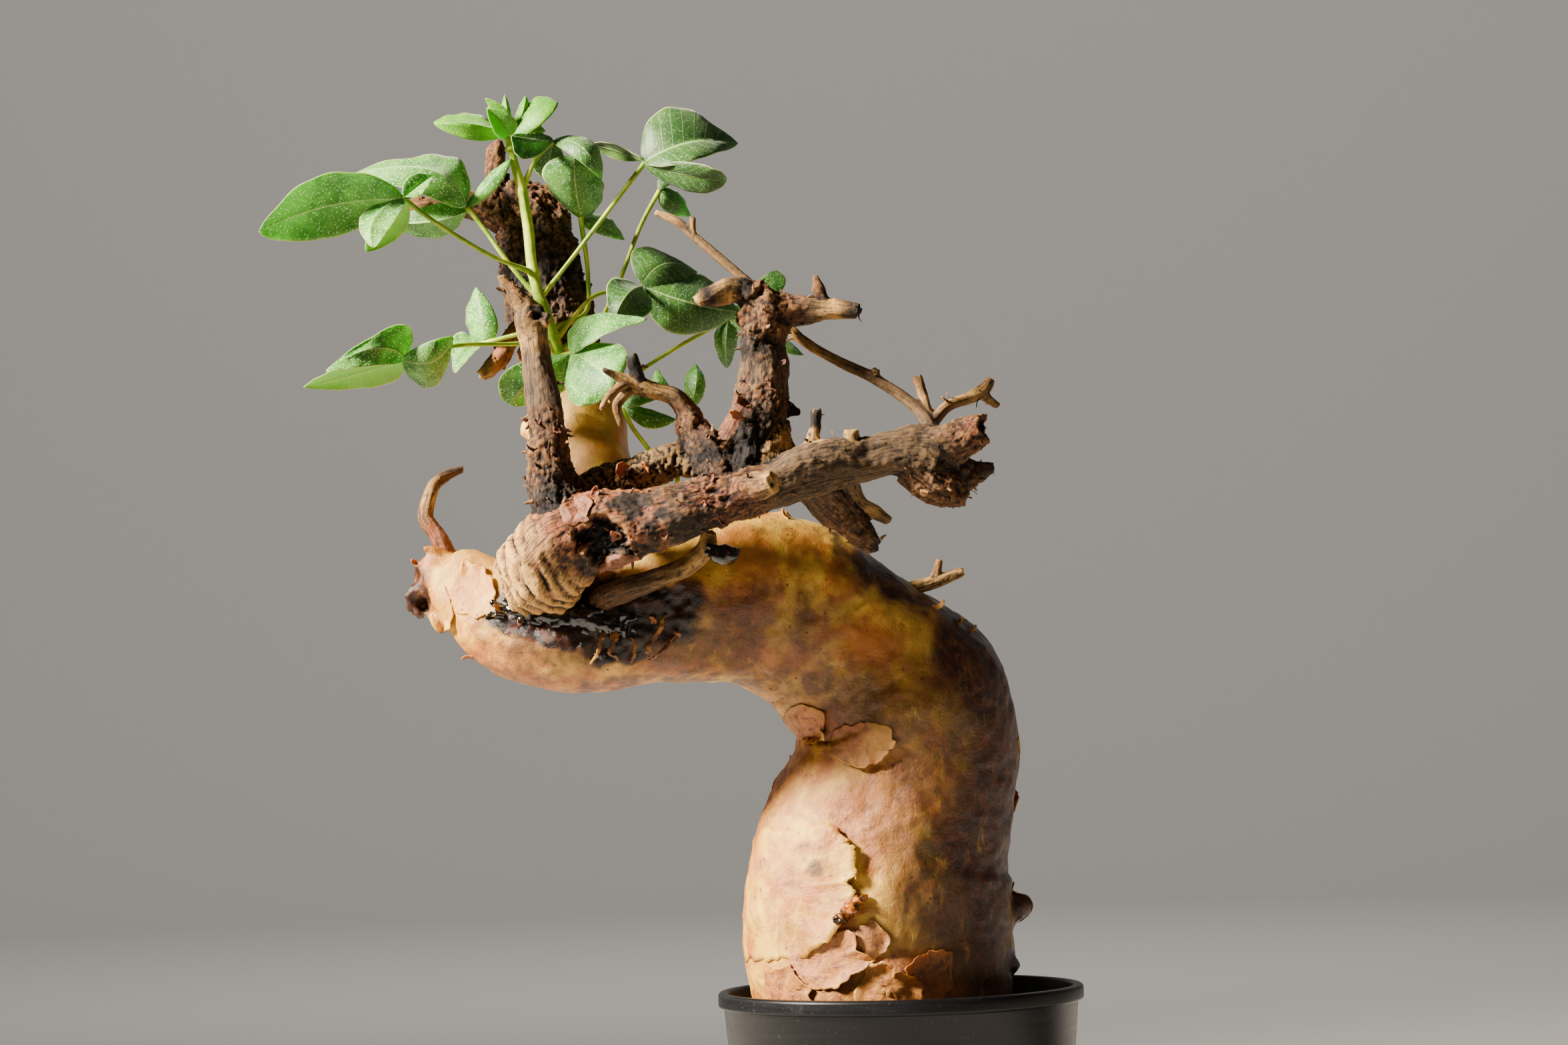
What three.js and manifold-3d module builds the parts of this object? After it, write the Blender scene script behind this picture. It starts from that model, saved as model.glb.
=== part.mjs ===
// A potted Commiphora kataf: a swollen pale caudex that bends into a long limb, with dead weathered
// branches, one living green shoot and its three-leaflet leaves, in a round black pot.
// Units are millimetres and +Z is up. The origin is the centre of the pot's underside.
// +X runs to the right along the face with the dead branch in front, and +Y runs away from that face.

import * as THREE from "three";
import { mergeVertices } from "three/addons/utils/BufferGeometryUtils.js";
import Module from "manifold-3d";

const wasm = await Module();
wasm.setup();

// Driving dimensions
const POT_RIM_DIAMETER = 120;
const POT_HEIGHT = 105;
const POT_WALL = 2;
const POT_TAPER_DEGREES = 4.8;
const POT_LIP_HEIGHT = 5;
const POT_LIP_OVERHANG = 1.4;
const POT_FLOOR = 3;
const POT_SIDES = 44;
const DRAIN_HOLES = 6;
const DRAIN_HOLE_DIAMETER = 9;
const DRAIN_RING_RADIUS = 34;
const DRAIN_HOLE_SIDES = 12;
const POT_EDGE = 1;
const SOIL_BELOW_RIM = 8;
const SOIL_GRIT_HEIGHT = 1.4;
const SOIL_RINGS = 7;
const CLEARANCE = 0.3;
const BLADE_THICKNESS = 0.7;
const PETIOLE_RADIUS = 0.8;
const PETIOLE_JOINT_RADIUS = 1.3;
const BARK_FLAKE_THICKNESS = 1.6;

// Finishes
const BLACK_PLASTIC = { color: 0x1c1c20, roughness: 0.5 };
const DARK_SOIL = { color: 0x3a2a1e, roughness: 0.95 };
const PALE_BARK = { color: 0xd9c08a, roughness: 0.55 };
const DEAD_WOOD = { color: 0x6e5545, roughness: 0.85 };
const BURNT_WOOD = { color: 0x4a2e20, roughness: 0.9 };
const GREEN_STEM = { color: 0x9bb83a, roughness: 0.5 };
const LEAF_GREEN = { color: 0x6fa04e, roughness: 0.6 };
const YOUNG_GREEN = { color: 0x9fd01e, roughness: 0.55 };
const SET_RESIN = { color: 0x1a1512, roughness: 0.12 };

// Solids

function solidOf(geometry) {
  const bare = geometry.clone();
  bare.deleteAttribute("normal");
  bare.deleteAttribute("uv");
  const merged = mergeVertices(bare, 1e-4);
  return new wasm.Manifold(
    new wasm.Mesh({
      numProp: 3,
      vertProperties: merged.attributes.position.array,
      triVerts: new Uint32Array(merged.index.array),
    }),
  );
}

const fuse = (solids) => solids.reduce((sum, solid) => sum.add(solid));

// The largest of a solid's separate bodies, which drops the scraps that a cut leaves behind.
function mainBody(solid) {
  const bodies = solid.decompose();
  return bodies.reduce((best, body) => (body.volume() > best.volume() ? body : best));
}

function geometryOf(solid) {
  const mesh = solid.getMesh();
  const positions = new Float32Array(mesh.numVert * 3);
  for (let i = 0; i < mesh.numVert; i++) {
    positions.set(mesh.vertProperties.subarray(i * mesh.numProp, i * mesh.numProp + 3), i * 3);
  }
  const geometry = new THREE.BufferGeometry();
  geometry.setAttribute("position", new THREE.BufferAttribute(positions, 3));
  geometry.setIndex(new THREE.BufferAttribute(new Uint32Array(mesh.triVerts), 1));
  geometry.computeVertexNormals();
  return geometry;
}

// A closed surface from rings of equal length, each a list of points, with a fan over each end.
function loft(rings) {
  const sides = rings[0].length;
  const points = rings.flat();
  const centre = (ring) => ring.reduce((sum, p) => sum.add(p), new THREE.Vector3()).divideScalar(sides);
  const first = points.push(centre(rings[0])) - 1;
  const last = points.push(centre(rings.at(-1))) - 1;
  const faces = [];
  const end = (rings.length - 1) * sides;
  for (let j = 0; j < sides; j++) {
    const k = (j + 1) % sides;
    for (let i = 0; i < rings.length - 1; i++) {
      const a = i * sides;
      const b = a + sides;
      faces.push(a + j, a + k, b + k, a + j, b + k, b + j);
    }
    faces.push(first, k, j, last, end + j, end + k);
  }
  const geometry = new THREE.BufferGeometry().setFromPoints(points);
  geometry.setIndex(faces);
  return geometry;
}

// A limb of round wood through stations of [x, y, z, radius]. `depth` squeezes it along Y, `gnarl` is
// the share of the radius by which its outline wanders, and `grow` thickens it all round.
function limb(stations, { sides = 10, depth = 1, gnarl = 0.05, grow = 0, seed = 0 } = {}) {
  const path = new THREE.CatmullRomCurve3(
    stations.map(([x, y, z]) => new THREE.Vector3(x, y, z)),
    false,
    "centripetal",
  );
  const spans = stations.length - 1;
  const rings = stations.map(([, , , radius], i) => {
    const t = i / spans;
    const along = path.getTangent(t);
    const across = new THREE.Vector3(0, 1, 0).cross(along).normalize();
    const away = along.clone().cross(across);
    const centre = path.getPoint(t);
    if (i === 0) centre.addScaledVector(along, -grow);
    if (i === spans) centre.addScaledVector(along, grow);
    const ring = [];
    for (let j = 0; j < sides; j++) {
      const angle = (2 * Math.PI * j) / sides;
      const wander = Math.sin(3 * angle + 9 * t + seed) + 0.6 * Math.sin(5 * angle - 14 * t + 2 * seed);
      const r = radius * (1 + gnarl * wander) + grow;
      ring.push(
        centre
          .clone()
          .addScaledVector(across, r * Math.cos(angle))
          .addScaledVector(away, r * depth * Math.sin(angle)),
      );
    }
    return ring;
  });
  return solidOf(loft(rings));
}

// A knob or hollow: a ball with its own radius along each axis.
function ball([x, y, z], [rx, ry, rz], detail) {
  const geometry = new THREE.IcosahedronGeometry(1, detail);
  geometry.scale(rx, ry, rz);
  geometry.translate(x, y, z);
  return solidOf(geometry);
}

// One leaflet. It runs from base to tip over the rib's middle point and is widest at the two side
// points. Both faces are split alike, a blade's thickness apart.
function blade(base, tip, side, otherSide, ribMiddle) {
  const wave = 0.03;
  const [from, to, left, right, middle] = [base, tip, side, otherSide, ribMiddle].map(
    (p) => new THREE.Vector3(...p),
  );
  const control = middle.clone().multiplyScalar(2).addScaledVector(from, -0.5).addScaledVector(to, -0.5);
  const rib = new THREE.QuadraticBezierCurve3(from, control, to);
  const lengthwise = THREE.MathUtils.clamp(Math.round(from.distanceTo(to) / 6) + 2, 4, 8);
  const rows = [];
  for (let i = 0; i <= lengthwise; i++) {
    const u = i / lengthwise;
    const width = Math.max(Math.sin(Math.PI * Math.pow(u, 0.9)), 0) ** 0.72 * 0.94 + 0.06;
    const row = [];
    for (const v of [-1, 0, 1]) {
      const reach = (v < 0 ? left : right).clone().sub(middle);
      const lift = wave * reach.length() * v * v * Math.sin(3 * Math.PI * u + 1.5 * Math.sign(v));
      const normal = reach.clone().cross(rib.getTangent(u)).normalize();
      row.push(
        rib
          .getPoint(u)
          .addScaledVector(reach, Math.abs(v) * width)
          .addScaledVector(normal, lift),
      );
    }
    rows.push(row);
  }
  return solidOf(sheet(rows, BLADE_THICKNESS));
}

// A thin closed sheet on a grid of points, thickened evenly to both sides of the grid.
function sheet(rows, thickness) {
  const across = rows[0].length;
  const facing = (i, j) => {
    const down = rows[Math.min(i + 1, rows.length - 1)][j].clone().sub(rows[Math.max(i - 1, 0)][j]);
    const over = rows[i][Math.min(j + 1, across - 1)].clone().sub(rows[i][Math.max(j - 1, 0)]);
    return over.cross(down).normalize();
  };
  const offset = (amount) =>
    rows.flatMap((row, i) => row.map((p, j) => p.clone().addScaledVector(facing(i, j), amount)));
  const points = [...offset(thickness / 2), ...offset(-thickness / 2)];
  const half = rows.length * across;
  const faces = [];
  for (let i = 0; i < rows.length - 1; i++) {
    for (let j = 0; j < across - 1; j++) {
      const a = i * across + j;
      const b = a + 1;
      const c = a + across;
      const d = c + 1;
      faces.push(a, b, d, a, d, c, half + a, half + d, half + b, half + a, half + c, half + d);
    }
  }
  const count = (from, to) => Array.from({ length: to - from }, (_, i) => from + i);
  const lastRow = rows.length - 1;
  const border = [
    ...count(0, across),
    ...count(1, rows.length).map((i) => i * across + across - 1),
    ...count(0, across - 1).reverse().map((j) => lastRow * across + j),
    ...count(1, lastRow).reverse().map((i) => i * across),
  ];
  border.forEach((a, i) => {
    const b = border[(i + 1) % border.length];
    faces.push(a, half + a, half + b, a, half + b, b);
  });
  const geometry = new THREE.BufferGeometry().setFromPoints(points);
  geometry.setIndex(faces);
  return geometry;
}

// Pot and soil

const POT_TAPER = Math.tan(THREE.MathUtils.degToRad(POT_TAPER_DEGREES));
const POT_RIM_RADIUS = POT_RIM_DIAMETER / 2;
const SOIL_TOP = POT_HEIGHT - SOIL_BELOW_RIM;
const wallRadius = (z) => POT_RIM_RADIUS - POT_LIP_OVERHANG - (POT_HEIGHT - z) * POT_TAPER;

function buildPot() {
  const bottom = wallRadius(0);
  const lipUnderside = POT_HEIGHT - POT_LIP_HEIGHT;
  const bore = (z) => wallRadius(z) - POT_WALL;
  const outline = [
    [0, 0],
    [bottom - 2 * POT_EDGE, 0],
    [bottom, 2 * POT_EDGE],
    [wallRadius(lipUnderside), lipUnderside],
    [POT_RIM_RADIUS, lipUnderside + POT_EDGE],
    [POT_RIM_RADIUS, POT_HEIGHT - POT_EDGE],
    [POT_RIM_RADIUS - POT_EDGE, POT_HEIGHT],
    [bore(POT_HEIGHT) + POT_EDGE, POT_HEIGHT],
    [bore(POT_HEIGHT), POT_HEIGHT - POT_EDGE],
    [bore(POT_FLOOR), POT_FLOOR],
    [0, POT_FLOOR],
  ].map(([r, z]) => new THREE.Vector2(r, z));
  const shell = new THREE.LatheGeometry(outline, POT_SIDES);
  shell.rotateX(Math.PI / 2);
  let pot = solidOf(shell);
  for (let i = 0; i < DRAIN_HOLES; i++) {
    const angle = (2 * Math.PI * i) / DRAIN_HOLES;
    const radius = DRAIN_HOLE_DIAMETER / 2;
    const hole = new THREE.CylinderGeometry(radius, radius, 4 * POT_FLOOR, DRAIN_HOLE_SIDES);
    hole.rotateX(Math.PI / 2);
    hole.translate(DRAIN_RING_RADIUS * Math.cos(angle), DRAIN_RING_RADIUS * Math.sin(angle), 0);
    pot = pot.subtract(solidOf(hole));
  }
  return pot;
}

// The soil's surface is gritty: rings of points raised by a formula of their place.
function buildSoil(trunkHole) {
  const grit = (x, y) => Math.sin(0.9 * x + 1.3 * Math.sin(0.7 * y)) * Math.cos(1.1 * y + Math.sin(0.8 * x));
  const radiusAt = (z) => wallRadius(z) - POT_WALL - CLEARANCE;
  const bottom = POT_FLOOR + CLEARANCE;
  const ringOf = (radius, height) =>
    Array.from({ length: POT_SIDES }, (_, j) => {
      const angle = (2 * Math.PI * j) / POT_SIDES;
      const x = radius * Math.cos(angle);
      const y = radius * Math.sin(angle);
      return new THREE.Vector3(x, y, height(x, y));
    });
  const surface = (x, y) => SOIL_TOP + SOIL_GRIT_HEIGHT * grit(x, y);
  const stack = [ringOf(radiusAt(bottom), () => bottom)];
  for (let i = SOIL_RINGS; i > 0; i--) {
    stack.push(ringOf((radiusAt(SOIL_TOP) * i) / SOIL_RINGS, surface));
  }
  return mainBody(solidOf(loft(stack)).subtract(trunkHole));
}

// Caudex: stations of [x, y, z, radius]

const TRUNK_DEPTH = 0.92;
const TRUNK = [
  [-3, 0, 57, 15], [-3, 0, 70, 28], [-3, 0, 88, 38], [-5, 0, 102, 42.5], [-6, 0, 110, 43.5],
  [-7.3, 0, 120, 43.8], [-7.3, 0, 130, 43.8], [-6.4, 0, 139, 43.3], [-5.3, 0, 148, 42.2], [-3, 0, 156, 40.5],
  [0.5, 0, 166, 38.6], [3.5, 0, 176, 37], [4.6, 0, 185, 36.6], [2.8, -1, 197, 36.2], [-3.4, -2, 205, 33.8],
  [-12.5, -4, 214, 31], [-21, -6, 222, 29.5], [-31, -9, 229, 29.5], [-46, -13, 234, 28.3],
  [-61, -17, 234, 27], [-80, -22, 231, 25], [-96, -26, 225, 20.5], [-108, -27, 224, 18.8],
  [-120, -25, 227, 17.9], [-129, -22, 232, 16], [-139, -18, 240, 13.2], [-146, -15, 245, 10.4],
  [-149, -14, 251, 5.7],
];
const REAR_STEM = [
  [-95, -12, 238, 14], [-96, -4, 252, 16], [-98, 6, 268, 16.7], [-101, 13, 282, 16.8], [-102, 17, 293, 16.6],
  [-104, 20, 305, 15.4], [-106, 22, 315, 12.5],
];
const REAR_BUD = [[-104, 16, 291, 6], [-115, 15, 292, 5], [-121, 14, 293, 2.5]];
const HORN_TWIG = [
  [-143.5, -14, 246, 4.5], [-147, -14, 257, 2.8], [-151, -13, 263, 2.6], [-150, -12, 269, 2.4],
  [-148, -11, 274, 2.2], [-144, -9, 277, 1.7], [-139, -7, 279, 1.2],
];
const RIGHT_STUB = [[-10, -2, 229, 4], [5, 0, 235, 2.6], [16, 1, 238, 2.1], [25, 2, 241, 1.7]];
const RIGHT_STUB_NUB = [[15, 1, 238, 1.8], [17, 1, 245, 1.1]];
const RESIN_STUB = [
  [-88, -38, 227, 4], [-82, -48, 235, 3], [-76, -53, 241, 2.8], [-62, -57, 245, 2.7], [-58, -58, 252, 3],
  [-58, -58, 255, 2],
];
const LOW_KNOB = [[31, 2, 128, 5.7], [39, 2, 130, 4.8], [43, 2, 132, 1.8]];
const LOW_FLAKE = [[30, -4, 112, 6], [35, -4, 112, 4], [39, -4, 110, 1.2]];
const CROWN_NUB = [[-34, -11, 255, 4], [-35, -12, 262, 2.3]];
const CROWN_CURL = [[19, -6, 221, 2.2], [22, -6, 224, 1.6], [23, -6, 222, 0.8]];
const HEAD_SCALE = [[-145, -17, 250, 3], [-149, -19, 253, 2], [-152, -20, 253, 0.8]];
const HEAD_FLAKE = [[-145, -18, 234, 5], [-147, -19, 229, 3.2], [-147, -19, 225, 0.9]];
const HEAD_KNOB = [[-150, -17, 243, 3], [-155, -17, 239, 3.2], [-156, -17, 235, 2.6], [-152, -17, 231, 1.8]];

// Bark flakes on the upright trunk: [x, z, width, height, turn in degrees, lift]
const FLAKE_ROWS = 5;
const FLAKE_COLUMNS = 2;
const TRUNK_FLAKES = [
  [-29, 192, 13, 17, -35, 1.2], [-12, 186, 20, 12, -20, 1.4], [-33, 137, 34, 50, 4, 1.6],
  [-12, 122, 14, 14, 10, 1.8], [-25, 117, 27, 17, 8, 2.2], [-8, 110, 25, 14, -14, 2.4],
  [10, 112, 11, 16, 0, 1.6], [20, 140, 20, 36, 6, 1.2], [16, 170, 18, 24, -8, 1.1],
];
// The same on the back of the trunk, where peeling goes on all round.
const BACK_FLAKES = [
  [-20, 128, 26, 34, 8, 1.6], [14, 116, 24, 20, -10, 2], [2, 158, 22, 30, 5, 1.3],
  [-14, 186, 18, 18, -20, 1.2],
];

// The trunk's centre and radius where it crosses a height below the bend.
function trunkAt(z) {
  const upper = TRUNK.findIndex((station) => station[2] >= z);
  const [low, high] = [TRUNK[upper - 1], TRUNK[upper]];
  const blend = (z - low[2]) / (high[2] - low[2]);
  return low.map((value, i) => value * (1 - blend) + high[i] * blend);
}

// A bark flake is a thin curved plate with a ragged edge that hugs the trunk and lifts at one side.
function trunkFlake([x, z, width, height, turn, lift], facing) {
  const cos = Math.cos(THREE.MathUtils.degToRad(turn));
  const sin = Math.sin(THREE.MathUtils.degToRad(turn));
  const rows = [];
  for (let i = 0; i <= FLAKE_ROWS; i++) {
    const v = (2 * i) / FLAKE_ROWS - 1;
    const bulge = Math.sqrt(Math.max(1 - v * v * 0.94, 0.05)) * (1 + 0.12 * Math.sin(4 * v + x));
    const row = [];
    for (let j = 0; j <= FLAKE_COLUMNS; j++) {
      const u = ((2 * j) / FLAKE_COLUMNS - 1) * bulge;
      const px = x + (u * width * cos - v * height * sin) / 2;
      const pz = z + (u * width * sin + v * height * cos) / 2;
      const [cx, cy, , radius] = trunkAt(pz);
      const across = THREE.MathUtils.clamp((px - cx) / radius, -0.96, 0.96);
      const out = radius + lift * (0.25 + 0.75 * Math.max(u, 0)) - BARK_FLAKE_THICKNESS / 3;
      const side = Math.sqrt(1 - across * across);
      row.push(new THREE.Vector3(cx + out * across, cy + facing * out * TRUNK_DEPTH * side, pz));
    }
    rows.push(row);
  }
  if (facing < 0) rows.reverse();
  return solidOf(sheet(rows, BARK_FLAKE_THICKNESS));
}

function buildCaudex(grow = 0) {
  const wood = (stations, sides, options = {}) => limb(stations, { gnarl: 0.03, grow, sides, ...options });
  const knobs = [HORN_TWIG, RIGHT_STUB, RESIN_STUB, LOW_KNOB, CROWN_NUB, HEAD_FLAKE, HEAD_KNOB];
  const parts = [
    wood(TRUNK, 20, { depth: TRUNK_DEPTH, gnarl: 0.012 }),
    wood(REAR_STEM, 12),
    wood(LOW_FLAKE, 8, { depth: 2 }),
    ...knobs.map((knob) => wood(knob, 8)),
    ...[REAR_BUD, RIGHT_STUB_NUB, CROWN_CURL, HEAD_SCALE].map((nub) => wood(nub, 6)),
  ];
  if (grow === 0) {
    parts.push(...TRUNK_FLAKES.map((flake) => trunkFlake(flake, -1)));
    parts.push(...BACK_FLAKES.map((flake) => trunkFlake(flake, 1)));
  }
  return mainBody(fuse(parts));
}

// Dead branches in front: stations of [x, y, z, radius]

const COLLAR = [
  [-112, -34, 241, 12], [-112, -44, 243, 13.5], [-110, -53, 246, 14.5], [-104, -59, 252, 14],
  [-96, -61, 257, 12.6],
];
const MAIN_RUN = [
  [-104, -59, 254, 13], [-87, -62, 256, 12.4], [-77, -63, 258, 10.1], [-70, -63, 260, 9.7],
  [-59, -62, 263, 8.4], [-44, -60, 267, 8], [-36, -59, 269, 7.6], [-27, -57, 273, 8.7],
  [-19, -56, 275, 8], [-10, -54, 276, 7], [1, -52, 278, 7.2], [9, -50, 278, 8.6], [14, -49, 276, 9],
];
const UPPER_END = [[6, -50, 279, 7], [21, -50, 281, 7.2], [27, -51, 284, 6.2], [31, -51, 285, 5]];
const LOWER_END = [[7, -50, 275, 7], [14, -50, 269, 7.4], [19, -50, 266, 5.9], [23, -51, 263, 3.2]];
const REAR_END = [[12, -46, 276, 7], [23, -42, 271, 6.2], [28, -40, 272, 3.8], [34, -38, 274, 1.6]];
const UPRIGHT = [
  [-101, -60, 255, 11], [-106, -60, 266, 8.8], [-108, -59, 277, 7.2], [-108, -58, 287, 6.1],
  [-109, -57, 298, 5.6], [-111, -56, 309, 4.9], [-112, -55, 318, 4.7], [-113, -55, 324, 5.3],
  [-113, -55, 328, 4],
];
const UPRIGHT_HORN = [[-112, -55, 325, 4], [-117, -56, 331, 2.7], [-120, -56, 335, 1.9], [-122, -57, 338, 1]];
const UPRIGHT_KNOB = [[-112, -56, 324, 3.4], [-107, -58, 323, 2.2]];
const TWIGLET = [[-24, -57, 276, 3], [-24, -57, 284, 2.1], [-23, -57, 288, 1.7], [-23, -57, 292, 1.9]];
const RIDGE_NUB = [[-12, -56, 278, 3.2], [-12, -57, 286, 2.4]];
const CUT_STUB = [[-53, -60, 265, 5.5], [-47, -67, 267, 4.8], [-41, -73, 268, 4.6], [-37, -76, 269, 3.6]];
const LOW_STUB = [[-25, -50, 269, 6.4], [-16, -44, 260, 6], [-8, -40, 252, 4.3], [-5, -39, 249, 2.4]];
const FORKED_STUB = [[-15, -48, 271, 4.3], [-10, -42, 263, 3], [-5, -38, 260, 2.4], [0, -36, 257, 1.5]];
const STRIPED_LIMB = [
  [-98, -52, 262, 8], [-92, -50, 270, 6.8], [-82, -50, 273, 6.3], [-67, -50, 278, 5.9], [-56, -52, 275, 5.5],
];
const GNARLED_STUB = [
  [-49, -58, 266, 7], [-56, -54, 277, 7.2], [-62, -52, 287, 5.5], [-64, -52, 293, 3.8], [-68, -53, 298, 3],
  [-74, -54, 300, 2.8], [-80, -55, 302, 2.8],
];
const CHARRED_STUB = [[-78, -54, 300, 2.8], [-80, -56, 307, 2.3], [-81, -57, 311, 1.9]];
const LEFT_TWIG = [[-78, -55, 301, 2.4], [-86, -58, 305, 1.5], [-90, -60, 307, 0.8]];
const DROOPING_TWIGS = [
  [[-82, -56, 303, 1.7], [-88, -60, 299, 1.5], [-91, -62, 294, 0.8]],
  [[-80, -55, 302, 2.1], [-86, -54, 296, 1.7], [-85, -53, 289, 1]],
];
const PALE_STEM = [[-40, -54, 268, 8.5], [-39, -48, 281, 8.6], [-39, -44, 289, 7.4]];
const T_STEM = [
  [-49, -56, 268, 7.5], [-45, -51, 284, 8], [-40, -47, 297, 8.4], [-39, -46, 307, 8], [-40, -46, 314, 7.2],
  [-39, -46, 320, 7.8], [-39, -46, 330, 7],
];
const T_LEFT_ARM = [[-38, -46, 327, 6], [-47, -48, 332, 4.5], [-55, -51, 330, 3.6], [-60, -53, 328, 1.9]];
const T_RIGHT_ARM = [[-40, -46, 326, 6.6], [-28, -47, 325, 5], [-19, -48, 325, 3.8], [-8, -50, 324, 2.5]];
const T_SPIKE = [[-20, -48, 325, 3.4], [-21, -48, 332, 2.1], [-22, -48, 336, 0.9]];
const T_ROOT = [[-43, -49, 299, 5], [-49, -54, 288, 3.8], [-55, -56, 278, 4.4]];
const T_BARB = [[-36, -46, 295, 4.3], [-28, -46, 292, 0.9]];
const LONG_TWIG = [
  [-73, -24, 360, 1], [-66, -25, 356.5, 1.5], [-60, -26, 351, 1.5], [-50, -29, 341.7, 1.5],
  [-42, -31, 334, 1.7], [-32, -33, 322, 1.7], [-26, -35, 316, 1.7], [-15, -37, 309, 1.7],
  [-4, -40, 303, 1.9], [11, -44, 291, 2.1], [15, -48, 281, 4],
];
const LONG_TWIG_NUBS = [
  [[-61, -26, 351, 1.4], [-61, -26, 358, 1.1]],
  [[-4, -40, 302, 1.8], [-3, -40, 306, 1.3]],
  [[13, -45, 286, 2.4], [12, -42, 295, 1.9], [10, -40, 303, 1.8]],
  [[12, -45, 285, 2.6], [19, -42, 293, 1.9], [27, -38, 296, 2.1], [32, -35, 299, 2.1], [34, -34, 302, 1.7]],
  [[30, -36, 298, 1.9], [36, -35, 293, 1.2]],
];
const KNOT_HOLLOW = { at: [-92, -75, 252], radii: [5, 5.5, 5.5] };

function buildDeadBranches(caudexClear, grow = 0) {
  const wood = (stations, sides) => limb(stations, { sides, seed: stations[0][0], grow });
  const parts = [
    wood(COLLAR, 12),
    wood(MAIN_RUN, 10),
    ...[UPPER_END, LOWER_END, REAR_END].map((end) => wood(end, 8)),
    wood(UPRIGHT, 9),
    ...[UPRIGHT_HORN, UPRIGHT_KNOB, TWIGLET, RIDGE_NUB].map((twig) => wood(twig, 6)),
    ...[CUT_STUB, LOW_STUB, FORKED_STUB].map((stub) => wood(stub, 8)),
    wood(STRIPED_LIMB, 8),
    wood(GNARLED_STUB, 8),
    ...[CHARRED_STUB, LEFT_TWIG, ...DROOPING_TWIGS].map((twig) => wood(twig, 6)),
    wood(PALE_STEM, 8),
    wood(T_STEM, 9),
    ...[T_LEFT_ARM, T_RIGHT_ARM].map((arm) => wood(arm, 7)),
    ...[T_SPIKE, T_ROOT, T_BARB].map((spike) => wood(spike, 6)),
    wood(LONG_TWIG, 6),
    ...LONG_TWIG_NUBS.map((nub) => wood(nub, 6)),
  ];
  const hollow = ball(KNOT_HOLLOW.at, KNOT_HOLLOW.radii, 1);
  return mainBody(fuse(parts).subtract(hollow).subtract(caudexClear));
}

// Dead top of the rear stem

const DEAD_TOP = [
  [-104.5, 21, 308, 15.3], [-107, 23, 316, 14.6], [-109, 24, 325, 14], [-112, 26, 339, 13.6],
  [-113, 27, 350, 13.5], [-116, 28, 362, 12.4], [-120.5, 28, 370, 9.6], [-124, 28, 374, 5],
];
const DEAD_TOP_LIMBS = [
  [[-126, 28, 366, 6], [-128, 28, 379, 4], [-127, 27, 388, 2.7], [-126, 27, 391, 1.1]],
  [[-121, 28, 364, 8], [-138, 24, 369, 4.9], [-151, 20, 368, 3.8], [-160, 18, 367, 2.4]],
  [[-114, 20, 331, 4.5], [-123, 12, 323, 3.3], [-128, 8, 315, 3.1], [-133, 6, 310, 2.2]],
  [[-104, 26, 342, 3], [-97, 26, 340, 1.8]],
];

function buildRearDeadTop(clear) {
  const parts = [
    limb(DEAD_TOP, { sides: 12, gnarl: 0.06 }),
    ...DEAD_TOP_LIMBS.map((stations) => limb(stations, { sides: 7 })),
  ];
  return mainBody(fuse(parts).subtract(clear));
}

// Green shoot and its leaves. A leaf is a stalk of [x, y, z] points and its leaflets, each given by
// base, tip, one side, other side and the middle of the rib.

const SHOOT = [
  [-105, 13, 310, 2.2], [-107, 5, 317, 2], [-110, 3, 327, 2], [-113, 3, 336, 1.9], [-115, 4, 346, 1.8],
  [-116, 5, 359, 1.8], [-118, 6, 372, 1.7], [-120, 6, 380, 1.4], [-122, 6, 389, 1.3],
];

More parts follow.
